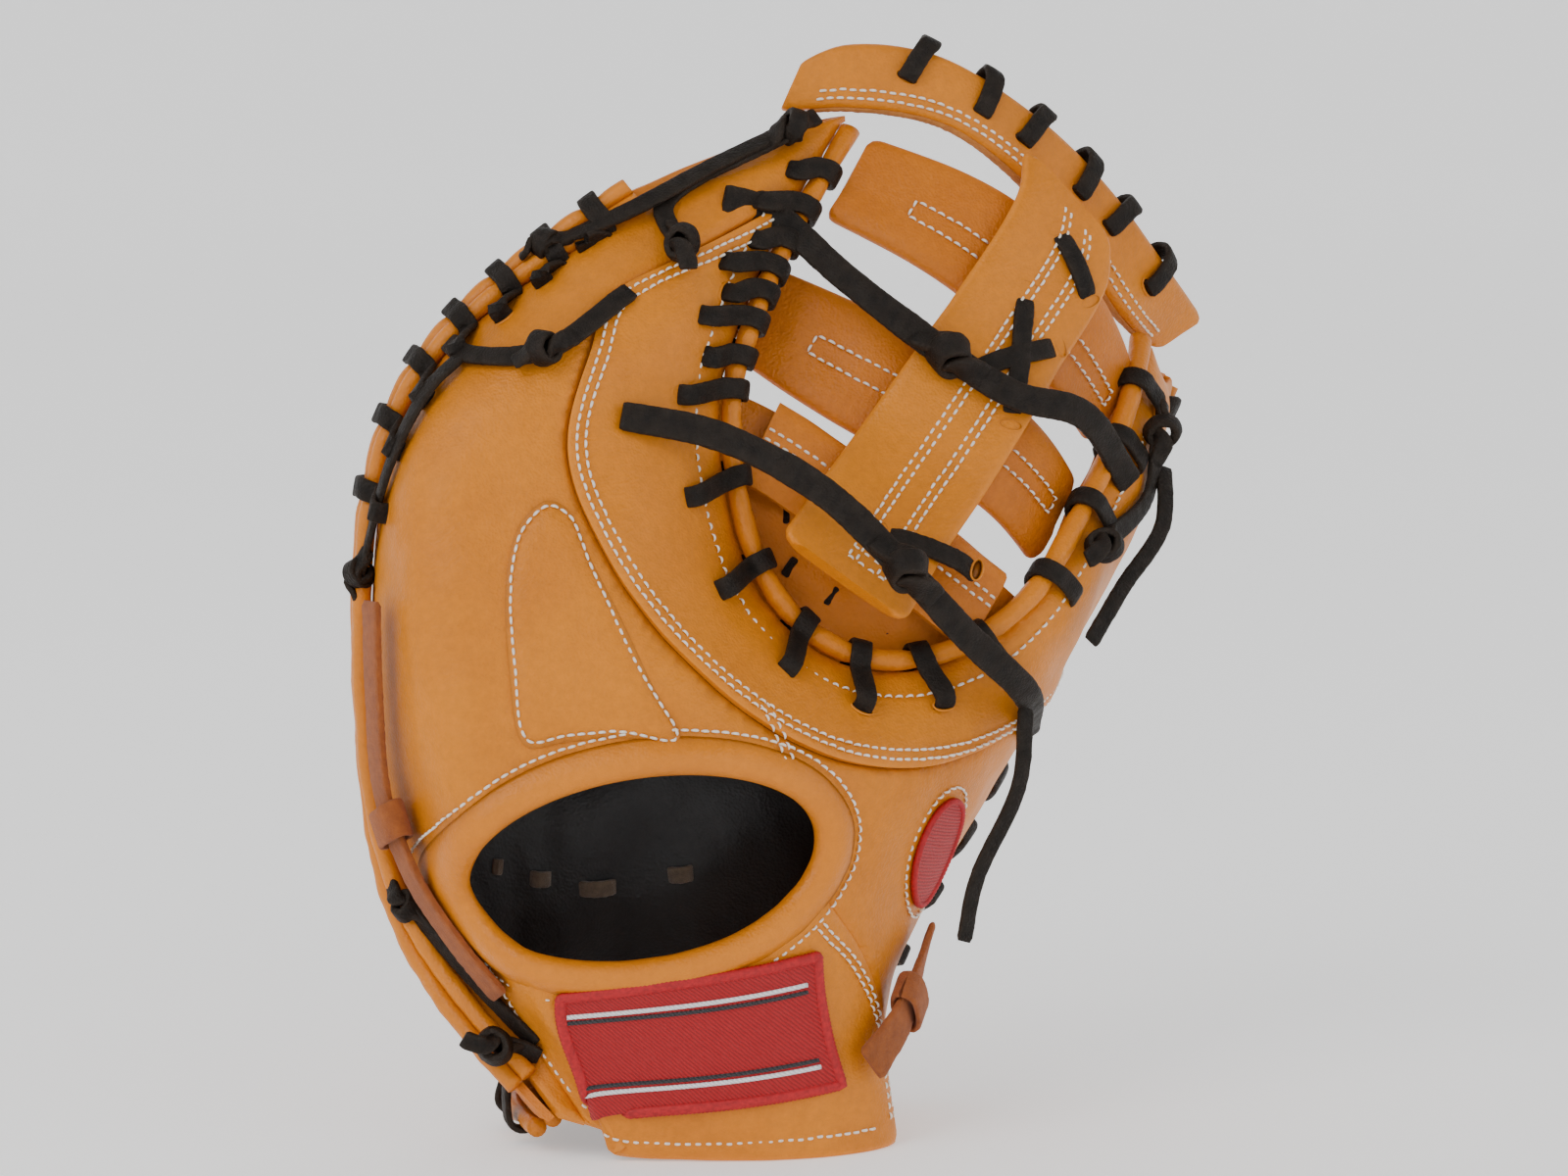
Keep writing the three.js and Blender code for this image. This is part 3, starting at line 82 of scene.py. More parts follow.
# the curved faces of the mitt
def splineBasis(stations):
    x = np.array(stations, float)
    n, h = len(x), np.diff(x)
    left, right = np.zeros((n, n)), np.zeros((n, n))
    left[0, 0] = left[-1, -1] = 1
    for i in range(1, n - 1):
        left[i, i - 1:i + 2] = h[i - 1], 2 * (h[i - 1] + h[i]), h[i]
        right[i, i - 1:i + 2] = 6 / h[i - 1], -6 / h[i - 1] - 6 / h[i], 6 / h[i]
    bends = np.linalg.solve(left, right)

    def weights(t):
        t = np.clip(np.asarray(t, float).ravel(), x[0], x[-1])
        i = np.clip(np.searchsorted(x, t, side="right") - 1, 0, n - 2)
        a = (x[i + 1] - t) / h[i]
        b = 1 - a
        w = ((a**3 - a) * h[i]**2 / 6)[:, None] * bends[i] + ((b**3 - b) * h[i]**2 / 6)[:, None] * bends[i + 1]
        w[np.arange(len(t)), i] += a
        w[np.arange(len(t)), i + 1] += b
        return w
    return weights


# thumb edge, thumb side, middle, finger side, finger edge; one row for each height from the heel up
palmRows = shares([
    [[0.125, 0.185, 0.034], [-0.03, 0.2, 0.044], [-0.152, 0.16, 0.048], [-0.24, 0.03, 0.045], [-0.2, -0.21, 0.042]],
    [[0.168, 0.24, 0.16], [0.072, 0.13, 0.148], [-0.08, 0.06, 0.155], [-0.24, 0.02, 0.172], [-0.352, -0.08, 0.19]],
    [[0.28, 0.37, 0.281], [0.208, 0.13, 0.288], [0.02, 0.02, 0.328], [-0.208, 0, 0.356], [-0.404, -0.02, 0.381]],
    [[0.368, 0.485, 0.406], [0.352, 0.135, 0.469], [0.184, 0.09, 0.581], [-0.064, 0.11, 0.681], [-0.392, 0.02, 0.625]],
    [[0.464, 0.57, 0.556], [0.448, 0.32, 0.6], [0.304, 0.2, 0.731], [0.024, 0.21, 0.8], [-0.272, 0.075, 0.775]],
    [[0.536, 0.59, 0.675], [0.504, 0.49, 0.7], [0.4, 0.4, 0.869], [0.144, 0.355, 0.928], [-0.104, 0.13, 0.875]]])
backTurn = np.array([[58, 40, 18, 28, 62], [55, 36, 14, 8, 22], [58, 30, 12, -3, -8],
                     [52, 30, 12, -8, -24], [45, 36, 15, -8, -26], [45, 40, 15, -8, -26]], float)
backRise = 200 * np.array([[0.12, 0.41, 0.37, 0.26, 0.15], [0.1, 0.24, 0.27, 0.25, 0.18],
                           [0.03, 0.105, 0.23, 0.25, 0.21], [0.03, 0.075, 0.17, 0.21, 0.2],
                           [0.05, 0.09, 0.14, 0.18, 0.17], [0.05, 0.075, 0.11, 0.13, 0.13]])
acrossWeights = splineBasis([0, 0.25, 0.5, 0.75, 1])
alongWeights = splineBasis([0, 0.2, 0.4, 0.6, 0.8, 1])


def blend(rows, uv):
    return np.einsum("nj,ni,ji...->n...", alongWeights(uv[:, 1]), acrossWeights(uv[:, 0]), rows)


def distanceToSpans(points, a, b):
    # to the nearest of many straight spans, a batch of points at a time
    ab = b - a
    length = np.maximum((ab**2).sum(1), 1e-9)
    best, batch = np.empty(len(points)), 4000
    for start in range(0, len(points), batch):
        p = points[start:start + batch, None, :]
        t = np.clip(((p - a) * ab).sum(2) / length, 0, 1)
        gap = p - a - t[..., None] * ab
        best[start:start + batch] = np.sqrt((gap**2).sum(2).min(1))
    return best


def distanceTo(points, line):
    return np.maximum(distanceToSpans(points, line[:-1], line[1:]), 1e-4)


class Face:
    # a fine net of places, read between its points
    def __init__(self, make, count=401):
        s = np.linspace(0, 1, count)
        u, v = np.meshgrid(s, s, indexing="ij")
        self.n = count - 1
        self.p = make(np.stack([u.ravel(), v.ravel()], 1)).reshape(count, count, 3)
        self.du, self.dv = np.gradient(self.p, s, s, axis=(0, 1))

    def read(self, grid, uv):
        uv = np.atleast_2d(np.asarray(uv, float))
        x, y = np.clip(uv[:, 0], 0, 1) * self.n, np.clip(uv[:, 1], 0, 1) * self.n
        i, j = np.minimum(x.astype(int), self.n - 1), np.minimum(y.astype(int), self.n - 1)
        a, b = (x - i)[:, None], (y - j)[:, None]
        return (grid[i, j] * (1 - a) * (1 - b) + grid[i + 1, j] * a * (1 - b)
                + grid[i, j + 1] * (1 - a) * b + grid[i + 1, j + 1] * a * b)

    def at(self, uv):
        return self.read(self.p, uv)

    def slopes(self, uv):
        return self.read(self.du, uv), self.read(self.dv, uv)

    def normal(self, uv):
        du, dv = self.slopes(uv)
        return unit(np.cross(du, dv)) * self.side

    def move(self, uv, way):
        # the places a short way off, along the face
        du, dv = self.slopes(uv)
        a, b, c = (du * du).sum(1), (du * dv).sum(1), (dv * dv).sum(1)
        e, f = (du * way).sum(1), (dv * way).sum(1)
        det = a * c - b * b
        return uv + np.stack([(c * e - b * f) / det, (a * f - b * e) / det], 1)


palm = Face(lambda uv: blend(palmRows, uv))
palm.side = 1.0

notch = {"thumb": 0.27, "top": 0.66, "bottom": 0.5, "middle": 0.48, "foot": 0.615}


def notchFinger(v):
    return 0.69 + 0.06 * np.clip((np.asarray(v, float) - 0.5) / 0.5, 0, 1)


def notchFloor(u):
    u = np.asarray(u, float)
    wide = np.where(u < notch["middle"], notch["middle"] - notch["thumb"],
                    notchFinger(notch["top"]) - notch["middle"])
    w = np.minimum(np.abs(u - notch["middle"]) / wide, 1)
    return notch["bottom"] + (notch["top"] - notch["bottom"]) * (1 - np.sqrt(1 - w * w))


steps = np.linspace(0, 1, 49)
side = np.linspace(0, 1, 17)
fingerTop = float(notchFinger(1))
floorShare = (1 - np.cos(np.pi * np.linspace(0, 1, 33))) / 2
floorU = notch["thumb"] + (float(notchFinger(notch["top"])) - notch["thumb"]) * floorShare
sideV = notch["top"] + (1 - notch["top"]) * side
rims = {
    "thumb": np.stack([0 * steps, steps], 1),
    "thumbTip": np.stack([notch["thumb"] * side, 1 + 0 * side], 1),
    "notch": np.concatenate([
        np.stack([notch["thumb"] + 0 * side, 1 - (1 - notch["top"]) * side], 1)[:-1],
        np.stack([floorU, notchFloor(floorU)], 1),
        np.stack([notchFinger(sideV), sideV], 1)[1:]]),
    "fingerTip": np.stack([fingerTop + (1 - fingerTop) * side, 1 + 0 * side], 1),
    "finger": np.stack([1 + 0 * steps, 1 - steps], 1),
    "heel": np.stack([1 - steps, 0 * steps], 1)}


def makeBack(uv):
    p = palm.at(uv)
    sides = sum(distanceTo(p, palm.at(rims[k]))**-2.5 for k in ("thumb", "thumbTip", "fingerTip", "finger"))
    every = sides + distanceTo(p, palm.at(rims["notch"]))**-2.5
    rounded = lambda d: 1 - (1 - np.minimum(d / form["edgeRound"], 1))**2
    swell = (1 - form["rimSpread"]) * rounded(every**-0.4) + form["rimSpread"] * rounded(sides**-0.4)
    turn = np.radians(blend(backTurn, uv))
    way = np.stack([np.sin(turn), -np.cos(turn), 0 * turn], 1)
    q = p - palm.normal(uv) * form["rimDepth"] + way * (blend(backRise, uv) * swell)[:, None]
    q[:, 2] -= form["strapDrop"] * swell * np.maximum(0, 1 - uv[:, 1] / 0.25)**2
    return q


back = Face(makeBack)
back.side = -1.0
print("faces of the mitt made")


def smooth(points, step=1.5, closed=False):
    # a centripetal spline through points, resampled at even steps
    p = np.asarray(points, float)
    before, after = (p[-1:], p[:2]) if closed else (2 * p[:1] - p[1:2], 2 * p[-1:] - p[-2:-1])
    p = np.concatenate([before, p, after])
    out = []
    for i in range(1, len(p) - 2):
        a, b, c, d = p[i - 1:i + 3]
        t1 = max(np.linalg.norm((b - a)[:3])**0.5, 1e-4)
        t2 = t1 + max(np.linalg.norm((c - b)[:3])**0.5, 1e-4)
        t3 = t2 + max(np.linalg.norm((d - c)[:3])**0.5, 1e-4)
        t = np.linspace(t1, t2, 14)[:-1, None]
        a1 = (t1 - t) / t1 * a + t / t1 * b
        a2 = (t2 - t) / (t2 - t1) * b + (t - t1) / (t2 - t1) * c
        a3 = (t3 - t) / (t3 - t2) * c + (t - t2) / (t3 - t2) * d
        b1 = (t2 - t) / t2 * a1 + t / t2 * a2
        b2 = (t3 - t) / (t3 - t1) * a2 + (t - t1) / (t3 - t1) * a3
        out.append((t2 - t) / (t2 - t1) * b1 + (t - t1) / (t2 - t1) * b2)
    line = np.concatenate(out + [p[-2:-1]])
    return resample(line, step)


def resample(line, step):
    gaps = np.linalg.norm(np.diff(line[:, :3], axis=0), axis=1)
    s = np.concatenate([[0], np.cumsum(gaps)])
    count = max(2, int(round(s[-1] / step)) + 1)
    return readAt(line, np.linspace(0, s[-1], count), s)


def readAt(line, x, marks=None):
    # the line at x, counted in its own points unless marks are given
    marks = np.arange(len(line)) if marks is None else marks
    return np.stack([np.interp(x, marks, line[:, k]) for k in range(line.shape[1])], 1)


def closeUp(line):
    return np.vstack([line, line[:1]])


def smoothUv(route, step=0.006):
    return smooth(route, step)


def frameOf(path):
    return unit(np.gradient(path, axis=0))


# materials
def nodeSet(name):
    made = bpy.data.materials.new(name)
    made.use_nodes = True
    nodes, links = made.node_tree.nodes, made.node_tree.links
    nodes.clear()
    shader = nodes.new("ShaderNodeBsdfPrincipled")
    out = nodes.new("ShaderNodeOutputMaterial")
    links.new(shader.outputs["BSDF"], out.inputs["Surface"])
    place = nodes.new("ShaderNodeTexCoord")

    def noise(scale, detail=4.0, rough=0.55):
        n = nodes.new("ShaderNodeTexNoise")
        n.inputs["Scale"].default_value = scale
        n.inputs["Detail"].default_value = detail
        n.inputs["Roughness"].default_value = rough
        links.new(place.outputs["Object"], n.inputs["Vector"])
        return n.outputs["Fac"]

    def cells(scale, feature="F1"):
        n = nodes.new("ShaderNodeTexVoronoi")
        n.feature = feature
        n.inputs["Scale"].default_value = scale
        links.new(place.outputs["Object"], n.inputs["Vector"])
        return n.outputs["Distance"]

    def ramp(source, stops):
        n = nodes.new("ShaderNodeValToRGB")
        links.new(source, n.inputs["Fac"])
        e = n.color_ramp.elements
        while len(e) < len(stops):
            e.new(0.5)
        for k, (at, colour) in enumerate(stops):
            e[k].position = at
            e[k].color = (*colour, 1) if len(colour) == 3 else colour
        return n.outputs["Color"]

    def math2(kind, a, b):
        n = nodes.new("ShaderNodeMath")
        n.operation = kind
        for k, value in enumerate((a, b)):
            if isinstance(value, (int, float)):
                n.inputs[k].default_value = value
            else:
                links.new(value, n.inputs[k])
        return n.outputs[0]

    def mix(fac, a, b, kind="MIX"):
        n = nodes.new("ShaderNodeMix")
        n.data_type, n.blend_type = "RGBA", kind
        for socket, value in ((n.inputs[0], fac), (n.inputs[6], a), (n.inputs[7], b)):
            if isinstance(value, (int, float)):
                socket.default_value = value
            elif isinstance(value, tuple):
                socket.default_value = (*value, 1)
            else:
                links.new(value, socket)
        return n.outputs[2]

    def mark(attribute):
        n = nodes.new("ShaderNodeAttribute")
        n.attribute_name = attribute
        return n.outputs["Fac"]

    def bump(height, distance, strength=1.0):
        n = nodes.new("ShaderNodeBump")
        n.inputs["Distance"].default_value = distance
        n.inputs["Strength"].default_value = strength
        links.new(height, n.inputs["Height"])
        links.new(n.outputs["Normal"], shader.inputs["Normal"])

    return made, shader, links, {"noise": noise, "cells": cells, "ramp": ramp, "sum": math2, "mix": mix, "mark": mark,
                                 "bump": bump}


leathers = {
    "backHide": {"light": (0.66, 0.208, 0.002), "dark": (0.55, 0.162, 0.001), "rough": 0.43, "grain": 0.00007},
    "palmHide": {"light": (0.60, 0.170, 0.002), "dark": (0.47, 0.122, 0.001), "rough": 0.42, "grain": 0.00008},
    "rolledHide": {"light": (0.65, 0.200, 0.002), "dark": (0.53, 0.152, 0.001), "rough": 0.36, "grain": 0.00006},
    "webHide": {"light": (0.65, 0.205, 0.002), "dark": (0.54, 0.160, 0.001), "rough": 0.41, "grain": 0.00007}}


def leather(name, recipe):
    made, shader, links, make = nodeSet(name)
    patches = make["ramp"](make["noise"](26, 3), [(0.25, recipe["dark"]), (0.75, recipe["light"])])
    fine = make["ramp"](make["noise"](420, 3), [(0.35, (0.93, 0.93, 0.93)), (0.7, (1.05, 1.05, 1.05))])
    colour = make["mix"](1.0, patches, fine, "MULTIPLY")
    pores = make["ramp"](make["cells"](780), [(0.02, (0.72, 0.72, 0.72)), (0.16, (1, 1, 1))])
    colour = make["mix"](0.35, colour, make["mix"](1.0, colour, pores, "MULTIPLY"))
    worn = tuple(min(1.0, c * 1.15 + 0.012) for c in recipe["light"])
    colour = make["mix"](make["mark"]("wear"), colour, worn)
    # painted shade: a much darker copy of the leather, mixed in along seams, recesses and the insides of holes
    paintedDark = tuple(c * 0.38 for c in recipe["dark"])
    colour = make["mix"](make["mark"]("crease"), colour, paintedDark)
    links.new(colour, shader.inputs["Base Color"])
    rough = recipe["rough"]
    gloss = make["ramp"](make["noise"](60, 4), [(0.3, (rough - 0.06,) * 3), (0.7, (rough + 0.1,) * 3)])
    links.new(gloss, shader.inputs["Roughness"])
    shader.inputs["Specular IOR Level"].default_value = 0.33
    grain = make["sum"]("ADD", make["cells"](1150), make["noise"](700, 4, 0.6))
    creases = make["sum"]("MULTIPLY", make["noise"](130, 5, 0.65), 2.2)
    make["bump"](make["sum"]("ADD", grain, creases), recipe["grain"] * 2.0)
    return made


def laceHide():
    made, shader, links, make = nodeSet("laceHide")
    colour = make["ramp"](make["noise"](160, 4), [(0.3, (0.006, 0.0045, 0.0035)), (0.75, (0.017, 0.012, 0.009))])
    colour = make["mix"](make["mark"]("wear"), colour, (0.032, 0.022, 0.015))
    links.new(colour, shader.inputs["Base Color"])
    shader.inputs["Specular IOR Level"].default_value = 0.16
    gloss = make["ramp"](make["noise"](240, 4), [(0.3, (0.46,) * 3), (0.7, (0.7,) * 3)])
    links.new(gloss, shader.inputs["Roughness"])
    grain = make["sum"]("ADD", make["cells"](1300), make["sum"]("MULTIPLY", make["noise"](520, 5, 0.7), 1.6))
    make["bump"](grain, 0.00022)
    return made


def suede(name, light, dark, sheen=0.35):
    made, shader, links, make = nodeSet(name)
    colour = make["ramp"](make["noise"](330, 6, 0.7), [(0.3, dark), (0.7, light)])
    broad = make["ramp"](make["noise"](45, 3), [(0.3, (0.84,) * 3), (0.7, (1.1,) * 3)])
    links.new(make["mix"](1.0, colour, broad, "MULTIPLY"), shader.inputs["Base Color"])
    shader.inputs["Roughness"].default_value = 0.93
    shader.inputs["Sheen Weight"].default_value = sheen
    make["bump"](make["noise"](900, 6, 0.75), 0.0005)
    return made


def thread(name, light, dark, rough=0.6):
    made, shader, links, make = nodeSet(name)
    colour = make["ramp"](make["noise"](900, 3), [(0.3, dark), (0.7, light)])
    links.new(colour, shader.inputs["Base Color"])
    shader.inputs["Roughness"].default_value = rough
    make["bump"](make["noise"](2600, 2), 0.00012)
    return made


def twill(name, light, dark):
    # close diagonal threads of an embroidered field
    made, shader, links, make = nodeSet(name)
    nodes = made.node_tree.nodes
    wave = nodes.new("ShaderNodeTexWave")
    wave.inputs["Scale"].default_value = 330
    wave.inputs["Distortion"].default_value = 1.6
    wave.inputs["Detail"].default_value = 2
    place = nodes.new("ShaderNodeTexCoord")
    turn = nodes.new("ShaderNodeMapping")
    turn.inputs["Rotation"].default_value = (0.3, 0.75, 0.4)
    links.new(place.outputs["Object"], turn.inputs["Vector"])
    links.new(turn.outputs["Vector"], wave.inputs["Vector"])
    colour = make["ramp"](wave.outputs["Fac"], [(0.0, dark), (0.6, light)])
    links.new(colour, shader.inputs["Base Color"])
    shader.inputs["Roughness"].default_value = 0.62
    shader.inputs["Sheen Weight"].default_value = 0.05
    make["bump"](make["sum"]("ADD", wave.outputs["Fac"], make["noise"](1800, 2)), 0.00025)
    return made


hides = {name: leather(name, recipe) for name, recipe in leathers.items()}
hides["lace"] = laceHide()
hides["suedeTan"] = suede("suedeTan", (0.38, 0.10, 0.014), (0.23, 0.055, 0.008), 0.08)
hides["rawEdge"] = suede("rawEdge", (0.52, 0.20, 0.04), (0.36, 0.12, 0.02), 0.03)
hides["lining"] = leather("lining", {"light": (0.018, 0.018, 0.018), "dark": (0.009, 0.009, 0.01), "rough": 0.5,
                                     "grain": 0.00008})
hides["liningLace"] = suede("liningLace", (0.12, 0.085, 0.055), (0.06, 0.042, 0.028), 0.2)
hides["creamThread"] = thread("creamThread", (0.93, 0.89, 0.80), (0.74, 0.68, 0.56))
hides["patchField"] = twill("patchField", (0.42, 0.001, 0.005), (0.24, 0.0005, 0.0025))
hides["patchBorder"] = thread("patchBorder", (0.50, 0.002, 0.008), (0.28, 0.001, 0.004))
hides["stripeWhite"] = twill("stripeWhite", (0.86, 0.86, 0.87), (0.62, 0.62, 0.65))
hides["stripeDark"] = twill("stripeDark", (0.03, 0.03, 0.035), (0.01, 0.01, 0.012))
print("materials made")


# meshes
def piece(name, points, faces, hide, nodes=(), marks=None, sharp=40):
    # points in millimetres
    mesh = bpy.data.meshes.new(name)
    mesh.from_pydata(toRow(points).tolist(), [], [list(map(int, f)) for f in faces])
    mesh.polygons.foreach_set("use_smooth", [True] * len(mesh.polygons))
    if sharp:
        mesh.set_sharp_from_angle(angle=math.radians(sharp))
    # the first mark is real rubbed wear; the second is painted shade for seams, recesses and holes
    for mark in ("wear", "crease"):
        values = (marks or {}).get(mark)
        spot = mesh.attributes.new(mark, "FLOAT", "POINT")
        spot.data.foreach_set("value", np.zeros(len(points)) if values is None else np.asarray(values, float))
    mesh.materials.append(hides[hide])
    mesh.update()
    made = bpy.data.objects.new(name, mesh)
    bpy.context.scene.collection.objects.link(made)
    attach(made, "root")
    if nodes:
        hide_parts(*nodes)
    return made


def join(parts):
    # [(points, faces, wear)] into one
    points, faces, wear, at = [], [], [], 0
    for p, f, w in parts:
        points.append(p)
        faces.extend([tuple(i + at for i in face) for face in f])
        wear.append(w if w is not None else np.zeros(len(p)))
        at += len(p)
    return np.concatenate(points), faces, np.concatenate(wear)


def sweep(rings, closed=False, caps=True):
    # rings: count x around x 3
    rings = np.asarray(rings)
    n, k = rings.shape[:2]
    faces = []
    for i in range(n if closed else n - 1):
        j = (i + 1) % n
        for a in range(k):
            b = (a + 1) % k
            faces.append((i * k + a, i * k + b, j * k + b, j * k + a))
    if not closed and caps:
        faces.append(tuple(range(k - 1, -1, -1)))
        faces.append(tuple((n - 1) * k + a for a in range(k)))
    return rings.reshape(-1, 3), faces


def flatSection(count=16, square=0.3, soft=0.62):
    a = np.linspace(0, 2 * np.pi, count, endpoint=False)
    c, s = np.cos(a), np.sin(a)
    return np.stack([np.sign(c) * np.abs(c)**square, np.sign(s) * np.abs(s)**soft], 1)


def ribbon(path, sides, width, thickness, fray=0.06, step=1.3, taper=True):
    # a lace: a flat rounded strip along a path, wide along the given sides
    both = smooth(np.c_[path, sides], step)
    line, w = both[:, :3], both[:, 3:6]
    way = frameOf(line)
    w = unit(w - (w * way).sum(1, keepdims=True) * way)
    flat = np.cross(way, w)
    section = flatSection()
    n = len(line)
    every = np.arange(0, n + 6, 6)  # a new draw each sixth ring
    wide = width / 2 * (1 + 0.022 * np.interp(np.arange(n), every, dice.normal(size=len(every))))
    thick = np.full(n, thickness / 2)
    if taper:
        wide[[0, -1]] *= 0.9
        thick[[0, -1]] *= 0.55
    edge = np.abs(section[:, 0])**3
    rings = (line[:, None] + w[:, None] * (section[None, :, :1] * wide[:, None, None])
             + flat[:, None] * (section[None, :, 1:] * thick[:, None, None]))
    rings += dice.normal(size=rings.shape) * fray * edge[None, :, None]
    points, faces = sweep(rings)
    wear = np.clip(np.tile(edge, n) * 0.55 + dice.normal(size=n * len(section)) * 0.1, 0, 1)
    return points, faces, wear


def triangulate(outline, spacing, cuts=(), holes=()):
    # an even net inside an outline in the face's own shares, with lines it must follow
    scale = np.array([235.0, 300.0])
    rings = [resample(closeUp(o) * scale, spacing)[:-1] for o in (outline, *holes)]
    lines = [resample(np.asarray(c) * scale, spacing) for c in cuts]

    def within(spots):
        keep = inside(spots, rings[0])
        for ring in rings[1:]:
            keep &= ~inside(spots, ring)
        return keep

    low, high = rings[0].min(0), rings[0].max(0)
    rows = np.arange(low[1], high[1], spacing * 0.87)
    columns = np.arange(low[0], high[0], spacing)
    x, y = np.meshgrid(columns, rows)
    x = x + (np.arange(len(rows)) % 2)[:, None] * spacing / 2
    inner = np.stack([x.ravel(), y.ravel()], 1) + dice.uniform(-0.12, 0.12, (x.size, 2)) * spacing
    inner = inner[within(inner)]
    for line in [closeUp(r) for r in rings] + lines:
        inner = inner[distanceTo(inner, line) > spacing * 0.55]
    points, edges = [], []
    for r in rings:
        at = len(points)
        points.extend(r)
        edges.extend((at + i, at + (i + 1) % len(r)) for i in range(len(r)))
    for c in lines:
        at = len(points)
        points.extend(c)
        edges.extend((at + i, at + i + 1) for i in range(len(c) - 1))
    points.extend(inner)
    done = delaunay_2d_cdt([Vector((float(p[0]), float(p[1]))) for p in points], edges, [], 0, 1e-6)
    spots = np.array([[p.x, p.y] for p in done[0]])
    cells = np.array([f for f in done[2] if len(f) == 3])
    fixed = {tuple(sorted(e)) for e, source in zip(done[1], done[4]) if source}
    return spots / scale, cells[within(spots[cells].mean(1))], fixed


def inside(points, ring):
    a, b = ring, np.roll(ring, -1, 0)
    odd = np.zeros(len(points), bool)
    for p, q in zip(a, b):
        if p[1] == q[1]:
            continue
        cross = ((p[1] > points[:, 1]) != (q[1] > points[:, 1]))
        odd ^= cross & (points[:, 0] < (q[0] - p[0]) * (points[:, 1] - p[1]) / (q[1] - p[1]) + p[0])
    return odd


def ripple(points, size, height, seed):
    # broad soft unevenness of worn leather
    turn = np.random.default_rng(seed)
    total = np.zeros(len(points))
    for _ in range(7):
        way = turn.normal(size=3)
        way *= (0.6 + turn.random()) * 2 * np.pi / size / np.linalg.norm(way)
        total += np.sin(points @ way + turn.random() * 6.28)
    return total * height / 2.6


def backWave(points):
    # what lies on the back leathers rises and falls with them
    return ripple(points, 46, 0.55, 3)


def netOf(outline, spacing):
    uv, cells, _ = triangulate(outline, spacing)
    return used(uv, cells)


def freeEdges(cells):
    # the edges that only one cell has, each in its cell's direction
    seen = {}
    for x, y, z in cells.tolist():
        for s, e in ((x, y), (y, z), (z, x)):
            if (e, s) in seen:
                del seen[(e, s)]
            else:
                seen[(s, e)] = True
    return list(seen)


def sheetOf(face, uv, cells, top, under):
    # a closed sheet of leather over a net, from the lift of its top and of its underside
    p, n = face.at(uv), face.normal(uv)
    above = p + n * top[:, None]
    a, b, c = (above[cells[:, k]] for k in range(3))
    if (np.cross(b - a, c - a) * n[cells[:, 0]]).sum() < 0:
        cells = cells[:, ::-1]
    count = len(uv)
    faces = cells.tolist() + (cells[:, ::-1] + count).tolist()
    faces += [(e, s, s + count, e + count) for s, e in freeEdges(cells)]
    return np.concatenate([above, p + n * under[:, None]]), faces


def used(uv, cells):
    keep = np.unique(cells)
    index = -np.ones(len(uv), int)
    index[keep] = np.arange(len(keep))
    return uv[keep], index[cells]


def edgeDistance(p, cells):
    pairs = np.array(freeEdges(cells))
    return distanceToSpans(p, p[pairs[:, 0]], p[pairs[:, 1]])


def smoothStep(x):
    x = np.clip(x, 0, 1)
    return x * x * (3 - 2 * x)


# stitches and holes, gathered while the leathers are made
stitches = []
stitchCut = {"pitch": 3.0, "length": 2.35, "radius": 0.4, "sink": 0.45}


def sew(path, normals, pitch=stitchCut["pitch"]):
    gap = 0.25
    both = resample(np.c_[path, normals], gap)
    line, n = both[:, :3], unit(both[:, 3:6])
    total = (len(line) - 1) * gap
    count = max(1, int(total / pitch))
    ring = np.linspace(0, 2 * np.pi, 6, endpoint=False)
    rise = np.array([-stitchCut["sink"], 0.16, 0.3, 0.3, 0.16, -stitchCut["sink"]])
    fat = np.array([0.55, 0.95, 1.05, 1.05, 0.95, 0.55]) * stitchCut["radius"]
    for i in range(count):
        start = (i + 0.5) * total / count - stitchCut["length"] / 2
        s = np.clip((start + np.linspace(0, stitchCut["length"], 6)) / gap, 0, len(line) - 1)
        at = readAt(line, s)
        up = n[np.clip(int(s[2]), 0, len(n) - 1)]
        across = np.cross(unit(at[-1] - at[0]), up)
        at = at + across * (dice.normal() * 0.07) + up * rise[:, None]
        rings = at[:, None] + fat[:, None, None] * (across * np.cos(ring)[None, :, None]
                                                    + up * np.sin(ring)[None, :, None] * 0.8)
        stitches.append((*sweep(rings), None))


def sewOn(face, uv, lift, shift=0.0, pitch=stitchCut["pitch"]):
    # a row on a face, as far to one side of a line as shift says
    if shift:
        uv = face.move(uv, np.cross(frameOf(face.at(uv)), face.normal(uv)) * shift)
    sew(face.at(uv) + face.normal(uv) * lift, face.normal(uv), pitch)


holes = []  # centre, normal, way of its width


def holeRims():
    # the pale lip of punched leather round each lace
    count = 20
    ring = np.linspace(0, 2 * np.pi, count, endpoint=False)
    lips = ((1.1, -0.3), (0.75, 0.12), (0.4, 0.05), (0.2, -0.9))  # how far out and how high, from outside in
    last = (len(lips) - 1) * count
    parts = []
    for centre, n, w in holes:
        n, w = unit(n), unit(w - (w * n).sum() * unit(n))
        f = np.cross(n, w)
        rows = []
        for grow, rise in lips:
            a, b = laceCut["width"] / 2 + grow * 0.6, laceCut["thickness"] / 2 + grow
            rows.append(centre + w * (a * np.cos(ring))[:, None] + f * (b * np.sin(ring))[:, None] + n * rise)
        points, faces = sweep(np.array(rows), caps=False)
        faces = [f[::-1] for f in faces]
        points = np.vstack([points, centre - n * 0.9])
        faces += [(last + i, last + (i + 1) % count, last + count) for i in range(count)]
        # painted shade down inside each hole, darkest at its centre
        parts.append((points, faces, np.r_[np.repeat([0, 0, 0.55, 1], count), 1]))
    points, faces, paintedDark = join(parts)
    piece("laceHoleRims", points, faces, "backHide", marks={"crease": paintedDark}, sharp=0)
